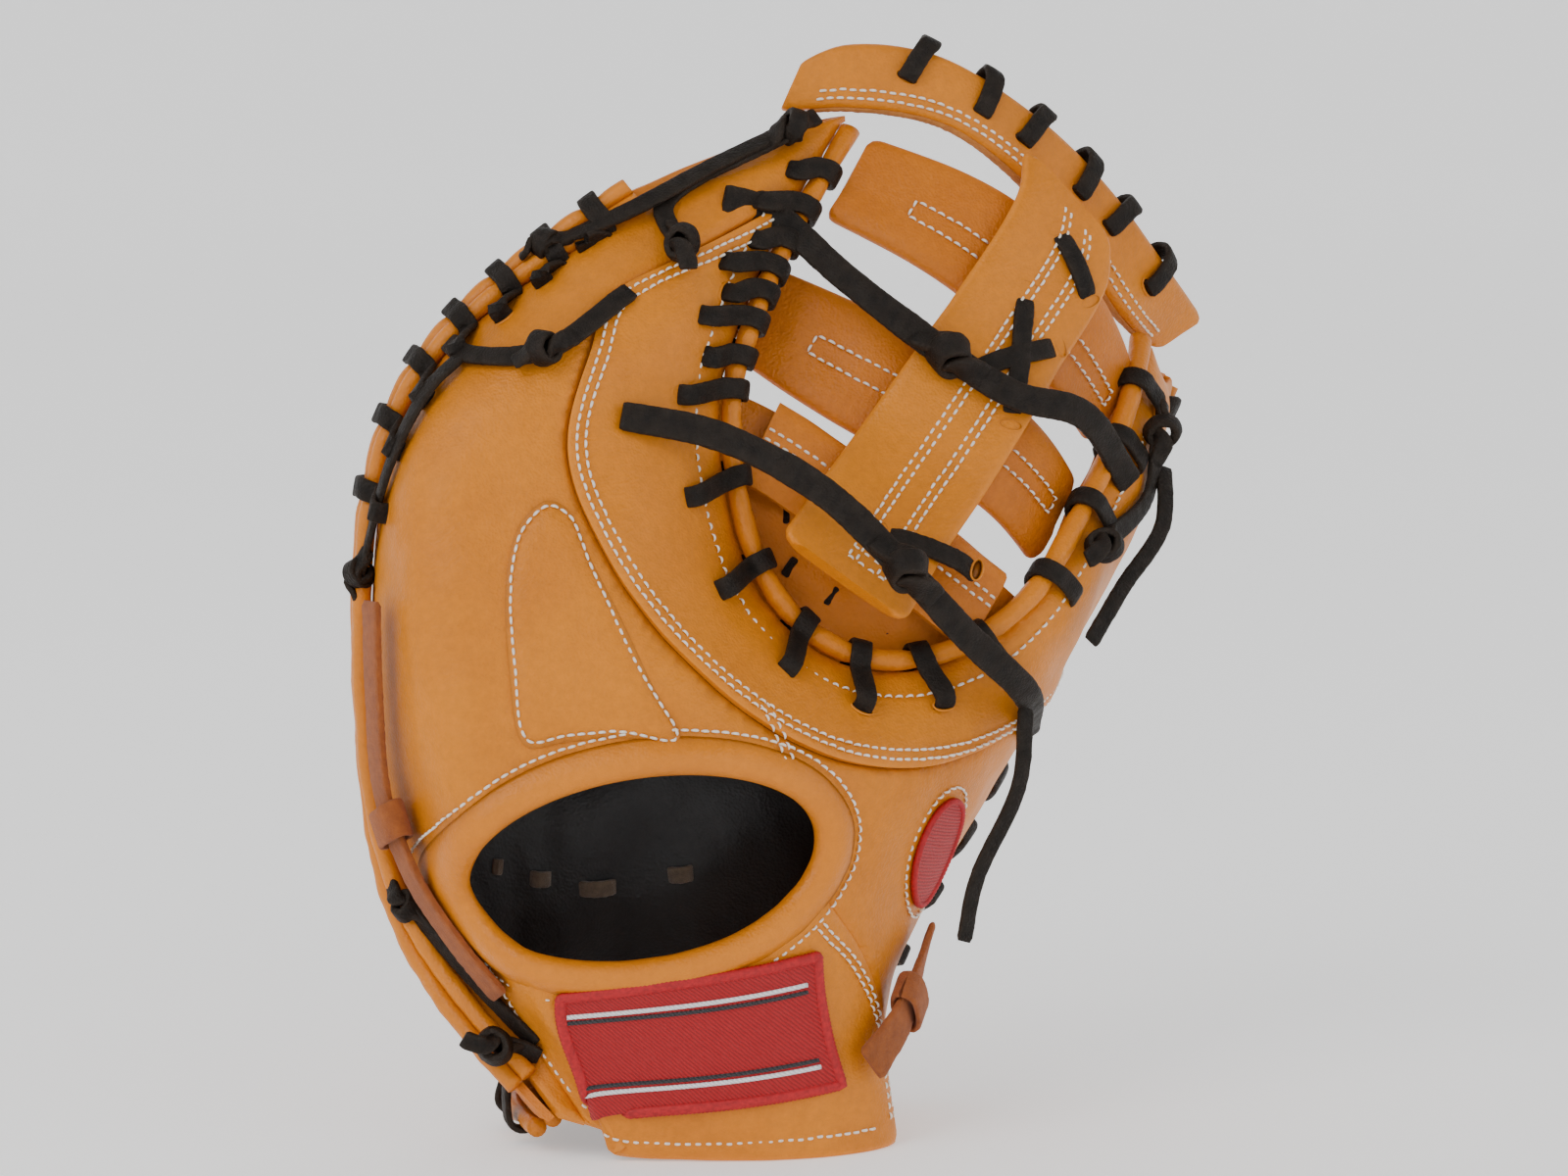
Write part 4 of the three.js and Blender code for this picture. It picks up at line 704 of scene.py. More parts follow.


# free lace ends
tails = {
    "tailUpper": {"node": "tail_upper",
                  "route": [[0.535, 0.34, 0.6], [0.53, 0.27, 0.55], [0.48, 0.18, 0.5], [0.44, 0.11, 0.455]]},
    "tailLower": {"node": "tail_lower",
                  "route": [[0.36, -0.024, 0.4055], [0.35, -0.09, 0.34], [0.3, -0.15, 0.26], [0.285, -0.17, 0.205]]}}


def makeTails():
    for name, tail in tails.items():
        line = smooth(shares(tail["route"]), 1.5)
        sides = np.tile([0.75, 0.6, 0.1], (len(line), 1))
        points, faces, wear = ribbon(line, sides, 5.0, 2.0, step=1.5, fray=0.06)
        made = piece(name, points, faces, "lace", [tail["node"]], {"wear": wear})
        route = toRow(line)


makeTails()


# the leathers of the back
seams = {
    "web": [[0.725, 0.93], [0.74, 0.9], [0.828, 0.769], [0.818, 0.661], [0.803, 0.575], [0.74, 0.52], [0.596, 0.468],
            [0.437, 0.446], [0.317, 0.465], [0.209, 0.512], [0.09, 0.57], [-0.01, 0.602]],
    "hand": [[0.56, 0.478], [0.524, 0.456], [0.478, 0.419], [0.45, 0.38]],
    "strapLeft": [[0.8, 0.33], [0.84, 0.3], [0.879, 0.262], [0.93, 0.133], [0.965, -0.01]],
    "strapRight": [[0.45, 0.37], [0.4, 0.335], [0.313, 0.271], [0.225, 0.156], [0.19, -0.01]]}
opening = {"at": (0.605, 0.35), "width": 107.0, "height": 57.0, "tilt": 8.0}
ridge = [[0.768, 0.424], [0.8, 0.46], [0.824, 0.503], [0.827, 0.532], [0.812, 0.547], [0.787, 0.542], [0.752, 0.517],
         [0.705, 0.49], [0.662, 0.465], [0.612, 0.436], [0.665, 0.434], [0.72, 0.428]]
wholeOutline = np.concatenate([rims["thumb"][:-1], rims["thumbTip"][:-1], rims["notch"][:-1], rims["fingerTip"][:-1],
                               rims["finger"][:-1], rims["heel"][:-1]])


def chart(face, anchor):
    # places x across and y up from an anchor, seen square on
    start = face.at([anchor])[0]
    n = face.normal([anchor])[0]
    ax = unit(np.cross([0, 0, 1], n))
    ay = np.cross(n, ax)

    def place(xy):
        xy = np.atleast_2d(np.asarray(xy, float))
        uv = np.tile(np.asarray(anchor, float), (len(xy), 1))
        for i in range(16):
            k = min((i + 1) / 6, 1)
            gap = face.at(uv) - start
            ex, ey = k * xy[:, 0] - gap @ ax, k * xy[:, 1] - gap @ ay
            du, dv = face.slopes(uv)
            a, b, c, d = du @ ax, dv @ ax, du @ ay, dv @ ay
            det = a * d - b * c
            uv = uv + np.stack([(d * ex - b * ey) / det, (a * ey - c * ex) / det], 1)
            uv = np.clip(uv, 0.004, 0.996)
        return uv
    return place


openingChart = chart(back, opening["at"])


def openingRing(grow, count=120):
    a = np.linspace(0, 2 * np.pi, count, endpoint=False)
    x, y = (opening["width"] / 2 + grow) * np.cos(a), (opening["height"] / 2 + grow) * np.sin(a)
    t = math.radians(opening["tilt"])
    return openingChart(np.stack([x * math.cos(t) - y * math.sin(t), x * math.sin(t) + y * math.cos(t)], 1))


panels = {
    "fingerBack": {"node": "finger_back", "seed": (0.9, 0.6)},
    "webBase": {"node": "web_base", "seed": (0.5, 0.475)},
    "thumbBack": {"node": "thumb_back", "seed": (0.2, 0.33)},
    "wristStrap": {"node": "wrist_strap", "seed": (0.55, 0.15)}}
panelCut = {"net": 1.75, "edgeDip": 1.1, "edgeWidth": 1.6, "lap": 1.5, "lapWidth": 13, "strapRise": 0.9,
            "webRows": (2.4, 5.0), "strapRows": (1.8, 4.2), "handRows": (-1.3, 1.3), "rollRow": 6.2}


def makeBackPanels():
    lines = {k: smoothUv(route, 0.004) for k, route in seams.items()}
    uv, cells, fixed = triangulate(wholeOutline, panelCut["net"], list(lines.values()), [openingRing(2.5)])
    print("back net", len(cells))
    # spread each panel's name from its seed over cells that share a free edge
    edges = {}
    for i, (x, y, z) in enumerate(cells.tolist()):
        for e in ((x, y), (y, z), (z, x)):
            edges.setdefault(tuple(sorted(e)), []).append(i)
    near = [[] for _ in range(len(cells))]
    for e, pair in edges.items():
        if len(pair) == 2 and e not in fixed:
            near[pair[0]].append(pair[1])
            near[pair[1]].append(pair[0])
    middle = uv[cells].mean(1)
    for name, cut in panels.items():
        start = int(((middle - cut["seed"])**2).sum(1).argmin())
        seen, queue = {start}, [start]
        while queue:
            for j in near[queue.pop()]:
                if j not in seen:
                    seen.add(j)
                    queue.append(j)
        mine, own = used(uv, cells[sorted(seen)])
        p = back.at(mine)
        d = edgeDistance(p, own)
        seamDistance = distanceTo(p, back.at(lines["web"]))
        lift = -panelCut["edgeDip"] * (1 - np.minimum(d / panelCut["edgeWidth"], 1))**2
        if name == "webBase":  # laps over its neighbours, with a channel under each stitched row
            lift += panelCut["lap"] * (1 - smoothStep(seamDistance / panelCut["lapWidth"]))
            for at in panelCut["webRows"]:
                lift -= 0.4 * np.exp(-((seamDistance - at) / 0.8)**2)
        else:
            if name == "wristStrap":
                lift += panelCut["strapRise"]
            lift -= 0.7 * np.exp(-(seamDistance / 2.5)**2)
        lift += backWave(p) + ripple(p, 17, 0.16, 5)
        wear = 0.5 * (1 - smoothStep(d / 2.2)) + 0.12 * np.clip(ripple(p, 9, 1, 8), 0, 1)
        # painted shade along the web seam, under the edge where the web's base laps over its neighbours
        crease = 0.75 * np.exp(-(seamDistance / 0.9)**2) * (name != "webBase")
        points, faces = sheetOf(back, mine, own, lift, lift - form["backLeather"])
        zero = np.zeros(len(mine))
        piece(name, points, faces, "backHide", [cut["node"]],
              {"wear": np.r_[wear, zero + 0.4], "crease": np.r_[crease, zero]})
    # double row beside the web seam, and the short one above the opening
    webLine = lines["web"][(lines["web"][:, 0] > 0.012) & (lines["web"][:, 1] < 0.895)]
    for shift in panelCut["webRows"]:
        sewOn(back, webLine, 1.35 - 0.12 * shift + 0.25, shift * seamSide(webLine, panels["webBase"]["seed"]))
    hand = smoothUv([[0.55, 0.466], [0.524, 0.452], [0.495, 0.43]])
    for shift in panelCut["handRows"]:
        sewOn(back, hand, 0.3, shift)
    right = smoothUv([[0.39, 0.315], [0.313, 0.262], [0.228, 0.15], [0.2, 0.03]])
    for shift in panelCut["strapRows"]:
        sewOn(back, right, 1.1, shift * seamSide(right, panels["wristStrap"]["seed"]))
    left = smoothUv([[0.872, 0.262], [0.925, 0.133], [0.955, 0.03]])
    sewOn(back, left, 1.1, 2.0 * seamSide(left, panels["wristStrap"]["seed"]))
    bottom = smoothUv([[0.93, 0.03], [0.75, 0.024], [0.5, 0.022], [0.25, 0.03]])
    sewOn(back, bottom, 1.15)
    # single row beside the roll of the web
    notchLine = rims["notch"][6:-6]
    inner = back.move(notchLine, -outOf(rims["notch"])[6:-6] * panelCut["rollRow"])
    sewOn(back, inner, 0.3, pitch=3.4)


def seamSide(line, toward):
    # which way off a line a place lies
    middle = line[len(line) // 2:len(line) // 2 + 2]
    p = back.at(middle)
    across = np.cross(unit(p[1] - p[0]), back.normal(middle)[0])
    return 1.0 if (across * (back.at([toward])[0] - p[0])).sum() > 0 else -1.0


def outOf(uv):
    p = palm.at(uv)
    return unit(np.cross(palm.normal(uv), frameOf(p)))


makeBackPanels()
print("back leathers made")


ridgeCut = {"net": 1.3, "foot": 0.35, "rise": 2.1, "round": 7.5, "row": 1.9}


def makeRidge():
    outline = smooth(ridge, 0.004, closed=True)[:-1]
    uv, cells = netOf(outline, ridgeCut["net"])
    p = back.at(uv)
    d = edgeDistance(p, cells)
    swell = np.sqrt(np.clip(1 - (1 - np.minimum(d / ridgeCut["round"], 1))**2, 0, 1))
    channel = 0.5 * np.exp(-((d - ridgeCut["row"]) / 0.8)**2)
    lift = ridgeCut["foot"] + ridgeCut["rise"] * swell - channel + backWave(p)
    points, faces = sheetOf(back, uv, cells, lift, -0.5 + 0 * lift)
    # painted shade in a narrow band round the ridge's foot
    piece("fingerRidge", points, faces, "backHide", ["finger_ridge"],
          {"wear": np.r_[0.3 * (1 - smoothStep(d / 2)), 0 * d], "crease": np.r_[0.5 * np.exp(-(d / 0.7)**2), 0 * d]})
    ringLine = closeUp(outline)
    inward = unit(back.at(np.tile(outline.mean(0), (len(ringLine), 1))) - back.at(ringLine))
    sewOn(back, back.move(ringLine, inward * ridgeCut["row"]), 1.3)


makeRidge()


def makeBinding():
    # the broad roll round the hand opening: across it from the stitched edge to the inside
    section = [(9.5, 0.5), (8.4, 1.2), (7.0, 2.1), (5.0, 2.9), (3.0, 3.2), (1.0, 2.8), (-0.6, 1.6), (-1.5, -0.4),
               (-1.2, -2.6), (0.4, -4.6), (2.6, -5.2), (5.0, -4.4), (7.5, -2.0), (9.3, -0.6)]
    count = 150
    rows = []
    for grow, lift in section:
        uv = openingRing(grow, count)
        p = back.at(uv)
        rows.append(p + back.normal(uv) * (lift + ripple(p, 12, 0.14, 21) + backWave(p))[:, None])
    rings = np.array(rows).transpose(1, 0, 2)
    points, faces = sweep(rings, closed=True)
    wear = np.tile([0, 0.1, 0.2, 0.5, 0.6, 0.5, 0.3, 0.1, 0, 0, 0, 0, 0, 0], count) * 0.5
    # painted shade at the roll's stitched outer edge, where it meets the back
    crease = np.tile([0.8, 0.2] + [0] * 12, count)
    piece("wristRoll", points, faces, "rolledHide", ["wrist_binding"],
          {"wear": wear, "crease": crease}, sharp=0)
    sewOn(back, closeUp(openingRing(11.2, 220)), 0.75)


makeBinding()


# palm leather, its fold at the web and the lining
palmDashes = {
    "palmLaceFoot": {"node": "palm_lace_foot",
                     "dashes": [[[0.325, 0.555], [0.373, 0.572]], [[0.409, 0.532], [0.436, 0.566]],
                                [[0.492, 0.534], [0.563, 0.536]], [[0.578, 0.563], [0.633, 0.547]],
                                [[0.642, 0.575], [0.682, 0.569]]]},
    "palmLaceThumb": {"node": "palm_lace_thumb",
                      "dashes": [[[0.228, 0.791], [0.218, 0.725]], [[0.223, 0.69], [0.23, 0.63]],
                                 [[0.238, 0.6], [0.262, 0.545]]]},
    "palmLaceFinger": {"node": "palm_lace_finger",
                       "dashes": [[[0.8, 0.672], [0.774, 0.7]], [[0.75, 0.706], [0.722, 0.732]],
                                  [[0.745, 0.834], [0.787, 0.824]], [[0.826, 0.82], [0.856, 0.785]]]},
    "palmLaceHeel": {"node": "palm_lace_heel",
                     "dashes": [[[0.297, 0.383], [0.324, 0.334]], [[0.36, 0.407], [0.395, 0.372]],
                                [[0.449, 0.337], [0.523, 0.319]], [[0.387, 0.265], [0.467, 0.234]]]}}
palmCut = {"net": 1.85, "edgeDip": 0.9, "edgeWidth": 1.6, "laceDip": 1.1, "pocketDip": 1.3, "pocketWidth": 10}


def makePalm():
    foot = notch["foot"]
    up = np.linspace(0, 1, 24)
    sideThumb = np.stack([notch["thumb"] + 0 * up, 1 - (1 - foot) * up], 1)
    across = np.stack([notch["thumb"] + (float(notchFinger(foot)) - notch["thumb"]) * up, foot + 0 * up], 1)
    sideFinger = np.stack([notchFinger(foot + (1 - foot) * up), foot + (1 - foot) * up], 1)
    outline = np.concatenate([rims["thumb"][:-1], rims["thumbTip"][:-1], sideThumb[:-1], across[:-1], sideFinger[:-1],
                              rims["fingerTip"][:-1], rims["finger"][:-1], rims["heel"][:-1]])
    uv, cells = netOf(outline, palmCut["net"])
    p = palm.at(uv)
    d = edgeDistance(p, cells)
    lift = -palmCut["edgeDip"] * (1 - np.minimum(d / palmCut["edgeWidth"], 1))**2
    lift = lift + ripple(p, 52, 0.7, 31) + ripple(p, 19, 0.2, 33)
    # painted shade round each lace dash, where the leather dips to it
    crease = 0 * d
    for lace in palmDashes.values():
        for a, b in lace["dashes"]:
            near = distanceTo(p, palm.at(np.linspace(a, b, 6)))
            lift -= palmCut["laceDip"] * np.exp(-(near / 3.4)**2)
            crease += 0.5 * np.exp(-(near / 2.4)**2)
    # the bent line of the pocket
    pocket = palm.at(smoothUv([[0.46, 0.03], [0.44, 0.2], [0.45, 0.35], [0.52, 0.5]]))
    lift -= palmCut["pocketDip"] * np.exp(-(distanceTo(p, pocket) / palmCut["pocketWidth"])**2)
    points, faces = sheetOf(palm, uv, cells, lift, lift - form["palmLeather"])
    wear = 0.35 * (1 - smoothStep(d / 2)) + 0.15 * np.clip(ripple(p, 11, 1, 35), 0, 1)
    piece("palmLeather", points, faces, "palmHide", ["palm_shell"],
          {"wear": np.r_[wear, 0 * wear + 0.4], "crease": np.r_[np.clip(crease, 0, 0.8), 0 * wear]})
    # double row under the fold at the web
    u = np.linspace(0.315, 0.655, 60)
    for drop in (0.02, 0.03):
        sewOn(palm, np.stack([u, foot - drop + 0 * u], 1), 0.35)


makePalm()


foldCut = {"under": 8.0, "rows": (-4.5, -7.5)}  # how deep the turned leather lies, and its stitched rows


def makeFold():
    # the palm leather turned back over the foot of the web
    u = np.linspace(0.33, 0.64, 70)
    top = np.stack([u, notch["foot"] - 0.004 + 0 * u], 1)
    p, n = palm.at(top), palm.normal(top)
    _, dv = palm.slopes(top)
    up = unit(dv)
    profile = [(0, 0.3), (2.6, -0.4), (4.2, -2.4), (4.4, -5.0), (2.8, -7.2), (0, -8.0), (-8, -8.0), (-16, -8.0),
               (-22, -8.0), (-22.4, -6.8), (-21, -5.8), (-10, -5.6), (-0.6, -5.6), (1.4, -4.6), (1.6, -3.4),
               (0.6, -2.4), (-1.4, -2.2)]
    rings = np.array([[p[i] + up[i] * a + n[i] * b for a, b in profile] for i in range(len(u))])
    flat = rings.reshape(-1, 3)
    rings = (flat + np.array([0, 0, 1.0]) * ripple(flat, 22, 0.25, 41)[:, None]).reshape(rings.shape)
    points, faces = sweep(rings)
    wear = np.tile([0, 0.2, 0.5, 0.5, 0.3, 0, 0, 0, 0.6, 0.6, 0, 0, 0, 0, 0, 0, 0], len(u))
    piece("palmFold", points, faces, "palmHide", ["web_foot"], {"wear": wear})
    for drop in foldCut["rows"]:
        sew(p + up * drop - n * foldCut["under"], -n)


makeFold()


liningCut = {"net": 3.0, "drop": 3.2, "thickness": 1.4,
             "dashes": [[(0.80, 0.315), (0.785, 0.316)], [(0.735, 0.31), (0.705, 0.312)],
                        [(0.66, 0.305), (0.61, 0.31)], [(0.545, 0.325), (0.515, 0.33)]]}


def makeLining():
    u, v = np.linspace(0.2, 0.9, 60), np.linspace(0.04, 0.483, 46)
    outline = np.concatenate([np.stack([u, v[0] + 0 * u], 1)[:-1], np.stack([u[-1] + 0 * v, v], 1)[:-1],
                              np.stack([u[::-1], v[-1] + 0 * u], 1)[:-1], np.stack([u[0] + 0 * v, v[::-1]], 1)[:-1]])
    uv, cells = netOf(outline, liningCut["net"])
    p = palm.at(uv)
    lift = -form["palmLeather"] - liningCut["drop"] + ripple(p, 30, 0.8, 51) + ripple(p, 12, 0.25, 52)
    points, faces = sheetOf(palm, uv, cells, lift, lift - liningCut["thickness"])
    piece("palmLining", points, faces, "lining", ["palm_liner"])
    parts = []
    for a, b in liningCut["dashes"]:
        line = np.linspace(a, b, 6)
        q, n = palm.at(line), palm.normal(line)
        across = np.cross(frameOf(q), n)
        route = q - n * (form["palmLeather"] + np.array([4.4, 5.6, 6.1, 6.1, 5.6, 4.4])[:, None])
        parts.append(ribbon(route, across, 5.0, 1.6, step=1.2))
    points, faces, wear = join(parts)
    piece("liningDashes", points, faces, "liningLace", marks={"wear": wear})


makeLining()
print("palm made")


# rolled edges
def rimAt(rim, t):
    # the leathers' places and ways at shares of a rim
    x = np.clip(t, 0, 1) * (len(rim) - 1)
    uv = readAt(rim, x)
    along = unit(palm.at(readAt(rim, x + 0.8)) - palm.at(readAt(rim, x - 0.8)))
    n = palm.normal(uv)
    return {"uv": uv, "n": n, "along": along, "out": unit(np.cross(n, along)), "p": palm.at(uv), "q": back.at(uv)}


def rimLength(rim):
    return np.linalg.norm(np.diff(palm.at(rim), axis=0), axis=1).sum()


def lacePlaces(rim, start, end, pitch):
    count = max(2, int(round(rimLength(rim) * (end - start) / pitch)))
    return start + (end - start) * (np.arange(count) + 0.5) / count


laceRuns = {
    "thumbLace": {"node": "thumb_lace", "rim": "thumb", "from": 0.14, "to": 0.98, "kind": "edge"},
    "fingerLace": {"node": "finger_lace", "rim": "finger", "from": 0.02, "to": 0.45, "kind": "edge"},
    "heelLace": {"node": "heel_lace", "rim": "heel", "from": 0.06, "to": 0.94, "kind": "heel"},
    "webLaceThumb": {"node": "web_lace_thumb", "rim": "notch", "from": 0.03, "to": 0.3, "kind": "web", "pitch": 23.0},
    "webLaceBase": {"node": "web_lace_base", "rim": "notch", "from": 0.325, "to": 0.675, "kind": "web",
                    "pitch": 21.5},
    "webLaceFinger": {"node": "web_lace_finger", "rim": "notch", "from": 0.69, "to": 0.97, "kind": "web",
                      "pitch": 13.0, "short": 6.0}}  # short: how far in every second hole is
for run in laceRuns.values():
    run["at"] = lacePlaces(rims[run["rim"]], run["from"], run["to"], run.get("pitch", laceCut["pitch"]))

weltCut = {"radius": 2.8, "webRadius": 3.1, "squeeze": 0.16}


def makeWelt(name, node, rimName, start, end, double=True, alone=False):
    rim = rims[rimName]
    count = int(rimLength(rim) * (end - start) / 1.6)
    t = np.linspace(start, end, count)
    f = rimAt(rim, t)
    r = weltCut["radius"] if double else weltCut["webRadius"]
    pulls = np.concatenate([run["at"] for run in laceRuns.values() if run["rim"] == rimName])
    length = rimLength(rim)
    near = np.abs(t[:, None] - pulls[None]).min(1) * length
    size = r * (1 - weltCut["squeeze"] * np.exp(-(near / 3.6)**2)) * (1 + 0.03 * np.sin(t * length / 3.1))
    angles = np.linspace(0, 2 * np.pi, 14, endpoint=False)
    if double:
        middle = f["p"] - f["n"] * form["palmLeather"] / 2 if alone else (f["p"] + f["q"]) / 2
        centres = [middle + f["out"] * (0.8 + 0.95 * size)[:, None] + f["n"] * (height * 0.96 * size)[:, None]
                   for height in (1, -1)]
    else:
        centres = [f["q"] + f["n"] * 1.0 + f["out"] * 3.7]
    tall = 1.0 if double else 1.12
    parts = []
    for centre in centres:
        rings = centre[:, None] + size[:, None, None] * (f["out"][:, None] * np.cos(angles)[None, :, None]
                                                         + f["n"][:, None] * tall * np.sin(angles)[None, :, None])
        parts.append((*sweep(rings), np.tile(0.35 * np.clip(np.cos(angles), 0, 1), count)))
    points, faces, wear = join(parts)
    points = points + ripple(points, 7, 0.1, 61)[:, None] * 0.6
    piece(name, points, faces, "rolledHide", [node], {"wear": wear}, sharp=0)


makeWelt("thumbWelt", "thumb_welt", "thumb", 0.04, 0.985)
makeWelt("fingerWelt", "finger_welt", "finger", 0.004, 0.96)
makeWelt("heelWelt", "heel_welt", "heel", 0.05, 0.95, alone=True)
makeWelt("webWelt", "web_welt", "notch", 0.008, 0.992, double=False)
print("rolled edges made")


# laces
def lacePiece(name, parts, node=None, hide="lace"):
    points, faces, wear = join(parts)
    piece(name, points, faces, hide, [node] if node else (), {"wear": wear})


def turnOf(stops, along, **cut):
    # one turn of lace, as wide as the laces are, along the edge
    return ribbon(np.array(stops), np.tile(along, (len(stops), 1)), laceCut["width"], laceCut["thickness"], **cut)


def edgeLace(name, run):
    # each turn goes through both leathers and over the rolls, leaning a little along the edge
    f = rimAt(rims[run["rim"]], run["at"])
    hole = palm.move(f["uv"], -f["out"] * laceCut["inset"])
    lean = 2.2
    parts = []
    for i in range(len(run["at"])):
        n, out, along = f["n"][i], f["out"][i], f["along"][i]
        palmHole, palmN = palm.at(hole[i:i + 1])[0], palm.normal(hole[i:i + 1])[0]
        rearUv = back.move(hole[i:i + 1], along[None] * lean)
        if run["kind"] == "heel":
            middle = f["p"][i] - n * 1.2
            rear, rearN = middle - n * 7.6 - out * 4.0, -n
        else:
            middle = (f["p"][i] + f["q"][i]) / 2
            rear, rearN = back.at(rearUv)[0], back.normal(rearUv)[0]
            holes.append((rear, rearN, along))
        holes.append((palmHole - along * lean + palmN * 0.1, palmN, along))
        stops = [palmHole - along * lean - palmN * 3.4, palmHole - along * lean + palmN * 0.2,
                 palmHole - along * lean * 0.8 + out * 2.2 + palmN * 1.9,
                 middle + out * 3.2 + n * 6.9 - along * lean * 0.4, middle + out * 6.1 + n * 5.4 - along * lean * 0.2,
                 middle + out * 7.3 + n * 2.7, middle + out * 7.1, middle + out * 7.3 - n * 2.7,
                 middle + out * 6.1 - n * 5.4 + along * lean * 0.3, middle + out * 3.2 - n * 6.9 + along * lean * 0.6]
        if run["kind"] == "heel":
            stops += [rear]
        else:
            stops += [rear + rearN * 1.9 + out * 2.2, rear + rearN * 0.2, rear - rearN * 3.0]
        parts.append(turnOf(stops, along))
    lacePiece(name, parts, run["node"])


def webLace(name, run):
    # each turn goes through the back leather and round the web's roll
    f = rimAt(rims[run["rim"]], run["at"])
    inset = np.where(np.arange(len(run["at"])) % 2, run.get("short", laceCut["inset"]), laceCut["inset"])
    hole = back.move(f["uv"], -f["out"] * inset[:, None])
    parts = []
    for i in range(len(run["at"])):
        n, out, along = f["n"][i], f["out"][i], f["along"][i]
        lean = 2.4 if i % 2 else 1.2
        rear, rearN = back.at(hole[i:i + 1])[0] - along * lean, back.normal(hole[i:i + 1])[0]
        holes.append((rear, rearN, along))
        middle = f["q"][i] + n * 1.0
        stops = [rear - rearN * 2.6, rear + rearN * 0.2, rear + rearN * 1.7 + out * 2.0,
                 middle + out * 1.4 - n * 4.9 - along * lean * 0.5, middle + out * 4.2 - n * 4.8 - along * lean * 0.2,
                 middle + out * 6.7 - n * 3.3, middle + out * 7.8, middle + out * 6.7 + n * 3.3 + along * lean * 0.3,
                 middle + out * 3.9 + n * 4.9 + along * lean * 0.6, middle + out * 0.8 + n * 4.7 + along * lean,
                 middle - out * 2.8 + n * 3.4 + along * lean]
        parts.append(turnOf(stops, along))
    lacePiece(name, parts, run["node"])


for name, run in laceRuns.items():
    (webLace if run["kind"] == "web" else edgeLace)(name, run)


def dashLace(name, cut):
    parts = []
    for a, b in cut["dashes"]:
        line = np.linspace(a, b, 7)
        p, n = palm.at(line), palm.normal(line)
        way = unit(p[-1] - p[0])
        across = np.cross(way, n)
        rise = np.array([-3.6, -1.0, 0.15, 0.45, 0.15, -1.0, -3.6])
        p = p + way * np.array([1.2, 0.2, 0, 0, 0, -0.2, -1.2])[:, None]
        parts.append(ribbon(p + n * rise[:, None], across, laceCut["width"], laceCut["thickness"], step=1.0))
    lacePiece(name, parts, cut["node"])


for name, cut in palmDashes.items():
    dashLace(name, cut)


# a tight overhand knot in a lace: its own line, in units of the knot's size
knotLine = np.array([[-1.35, 0.0, -0.1], [-0.8, 0.05, 0.05], [-0.25, 0.3, 0.42], [0.3, 0.42, 0.3],
                     [0.52, 0.05, -0.2], [0.2, -0.42, -0.34], [-0.3, -0.45, 0.1], [-0.38, -0.05, 0.6],
                     [0.0, 0.35, 0.62], [0.34, 0.42, 0.05], [0.1, 0.1, -0.4], [0.25, -0.3, 0.1],
                     [0.62, -0.18, 0.4], [1.0, 0.0, 0.12], [1.4, 0.0, -0.05]])


def knot(centre, along, up, size, width, thickness):
    along = unit(along)
    up = unit(up - (up * along).sum() * along)
    across = np.cross(up, along)
    scale = size / 2
    line = centre + scale * (knotLine[:, :1] * along + knotLine[:, 1:2] * across + knotLine[:, 2:] * up)
    way = frameOf(line)
    sides = np.cross(way, line - centre + up * 0.01)
    small = np.linalg.norm(sides, axis=1) < 1e-3
    sides[small] = across
    sides = unit(sides)
    for i in range(1, len(sides)):
        if (sides[i] * sides[i - 1]).sum() < 0:
            sides[i] *= -1
    return ribbon(line, sides, width, thickness, step=0.9, fray=0.05)


def routedLace(name, node, line, normals, knotsAt, size, width=laceCut["width"], thickness=laceCut["thickness"]):
    parts = [ribbon(line, unit(np.cross(frameOf(line), normals)), width, thickness)]
    for i in knotsAt:
        parts.append(knot(line[i] + unit(normals[i]) * 0.8, frameOf(line)[i], normals[i], size, width * 0.9,
                          thickness * 1.15))
    lacePiece(name, parts, node)


def offBack(route):
    # a line over the back from shares of it and a height, with its normals
    route = np.array(route)
    n = back.normal(route[:, :2])
    return back.at(route[:, :2]) + n * route[:, 2:], n


webTies = {
    "webTieUpper": {"node": "web_tie_upper", "start": [0.811, 0.906], "end": [0.241, 0.787], "knot": 4,
                    "route": [[0.06, 0.17, 0.85], [0.145, 0.13, 0.795], [0.22, 0.11, 0.75], [0.27, 0.105, 0.722],
                              [0.35, 0.105, 0.685], [0.43, 0.155, 0.664]]},
    "webTieLower": {"node": "web_tie_lower", "start": [0.772, 0.596], "end": [0.15, 0.512], "knot": 3,
                    "route": [[0.0, -0.09, 0.662], [0.12, -0.13, 0.615], [0.216, -0.15, 0.545], [0.29, -0.115, 0.48],
                              [0.36, -0.03, 0.42]]}}
webTieCut = {"width": 8.6, "thickness": 2.6, "knot": 18.0}
for name, tie in webTies.items():
    ends = [back.at([tie[k]]) + back.normal([tie[k]]) * 1.6 for k in ("start", "end")]
    line = np.vstack([ends[0], shares(tie["route"]), ends[1]])
    routedLace(name, tie["node"], line, np.tile([0.1, -1.0, 0.25], (len(line), 1)), [tie["knot"]], webTieCut["knot"],
               webTieCut["width"], webTieCut["thickness"])

backLaces = {
    "sideLace": {"node": "side_lace", "knots": [2],
                 "route": [[0.985, 0.727, 3], [0.93, 0.69, 2], [0.854, 0.661, 4.5], [0.815, 0.746, 2]]},
    "tipLace": {"node": "tip_lace", "knots": [0, 2],
                "route": [[0.791, 0.975, 4.5], [0.888, 0.922, 2.5], [0.807, 0.825, 4.5]]},
    "thumbSideLace": {"node": "thumb_side_lace", "knots": [0, 2],
                      "route": [[0.237, 0.865, 4.5], [0.2, 0.79, 2.5], [0.25, 0.697, 4.5]]},
    "strapLace": {"node": "strap_lace", "knots": [2],
                  "route": [[0.925, 0.085, 3], [0.945, 0.095, 6], [0.962, 0.1, 12]]}}
for name, lace in backLaces.items():
    line, n = offBack(lace["route"])
    routedLace(name, lace["node"], line, n, lace["knots"], 14.5)

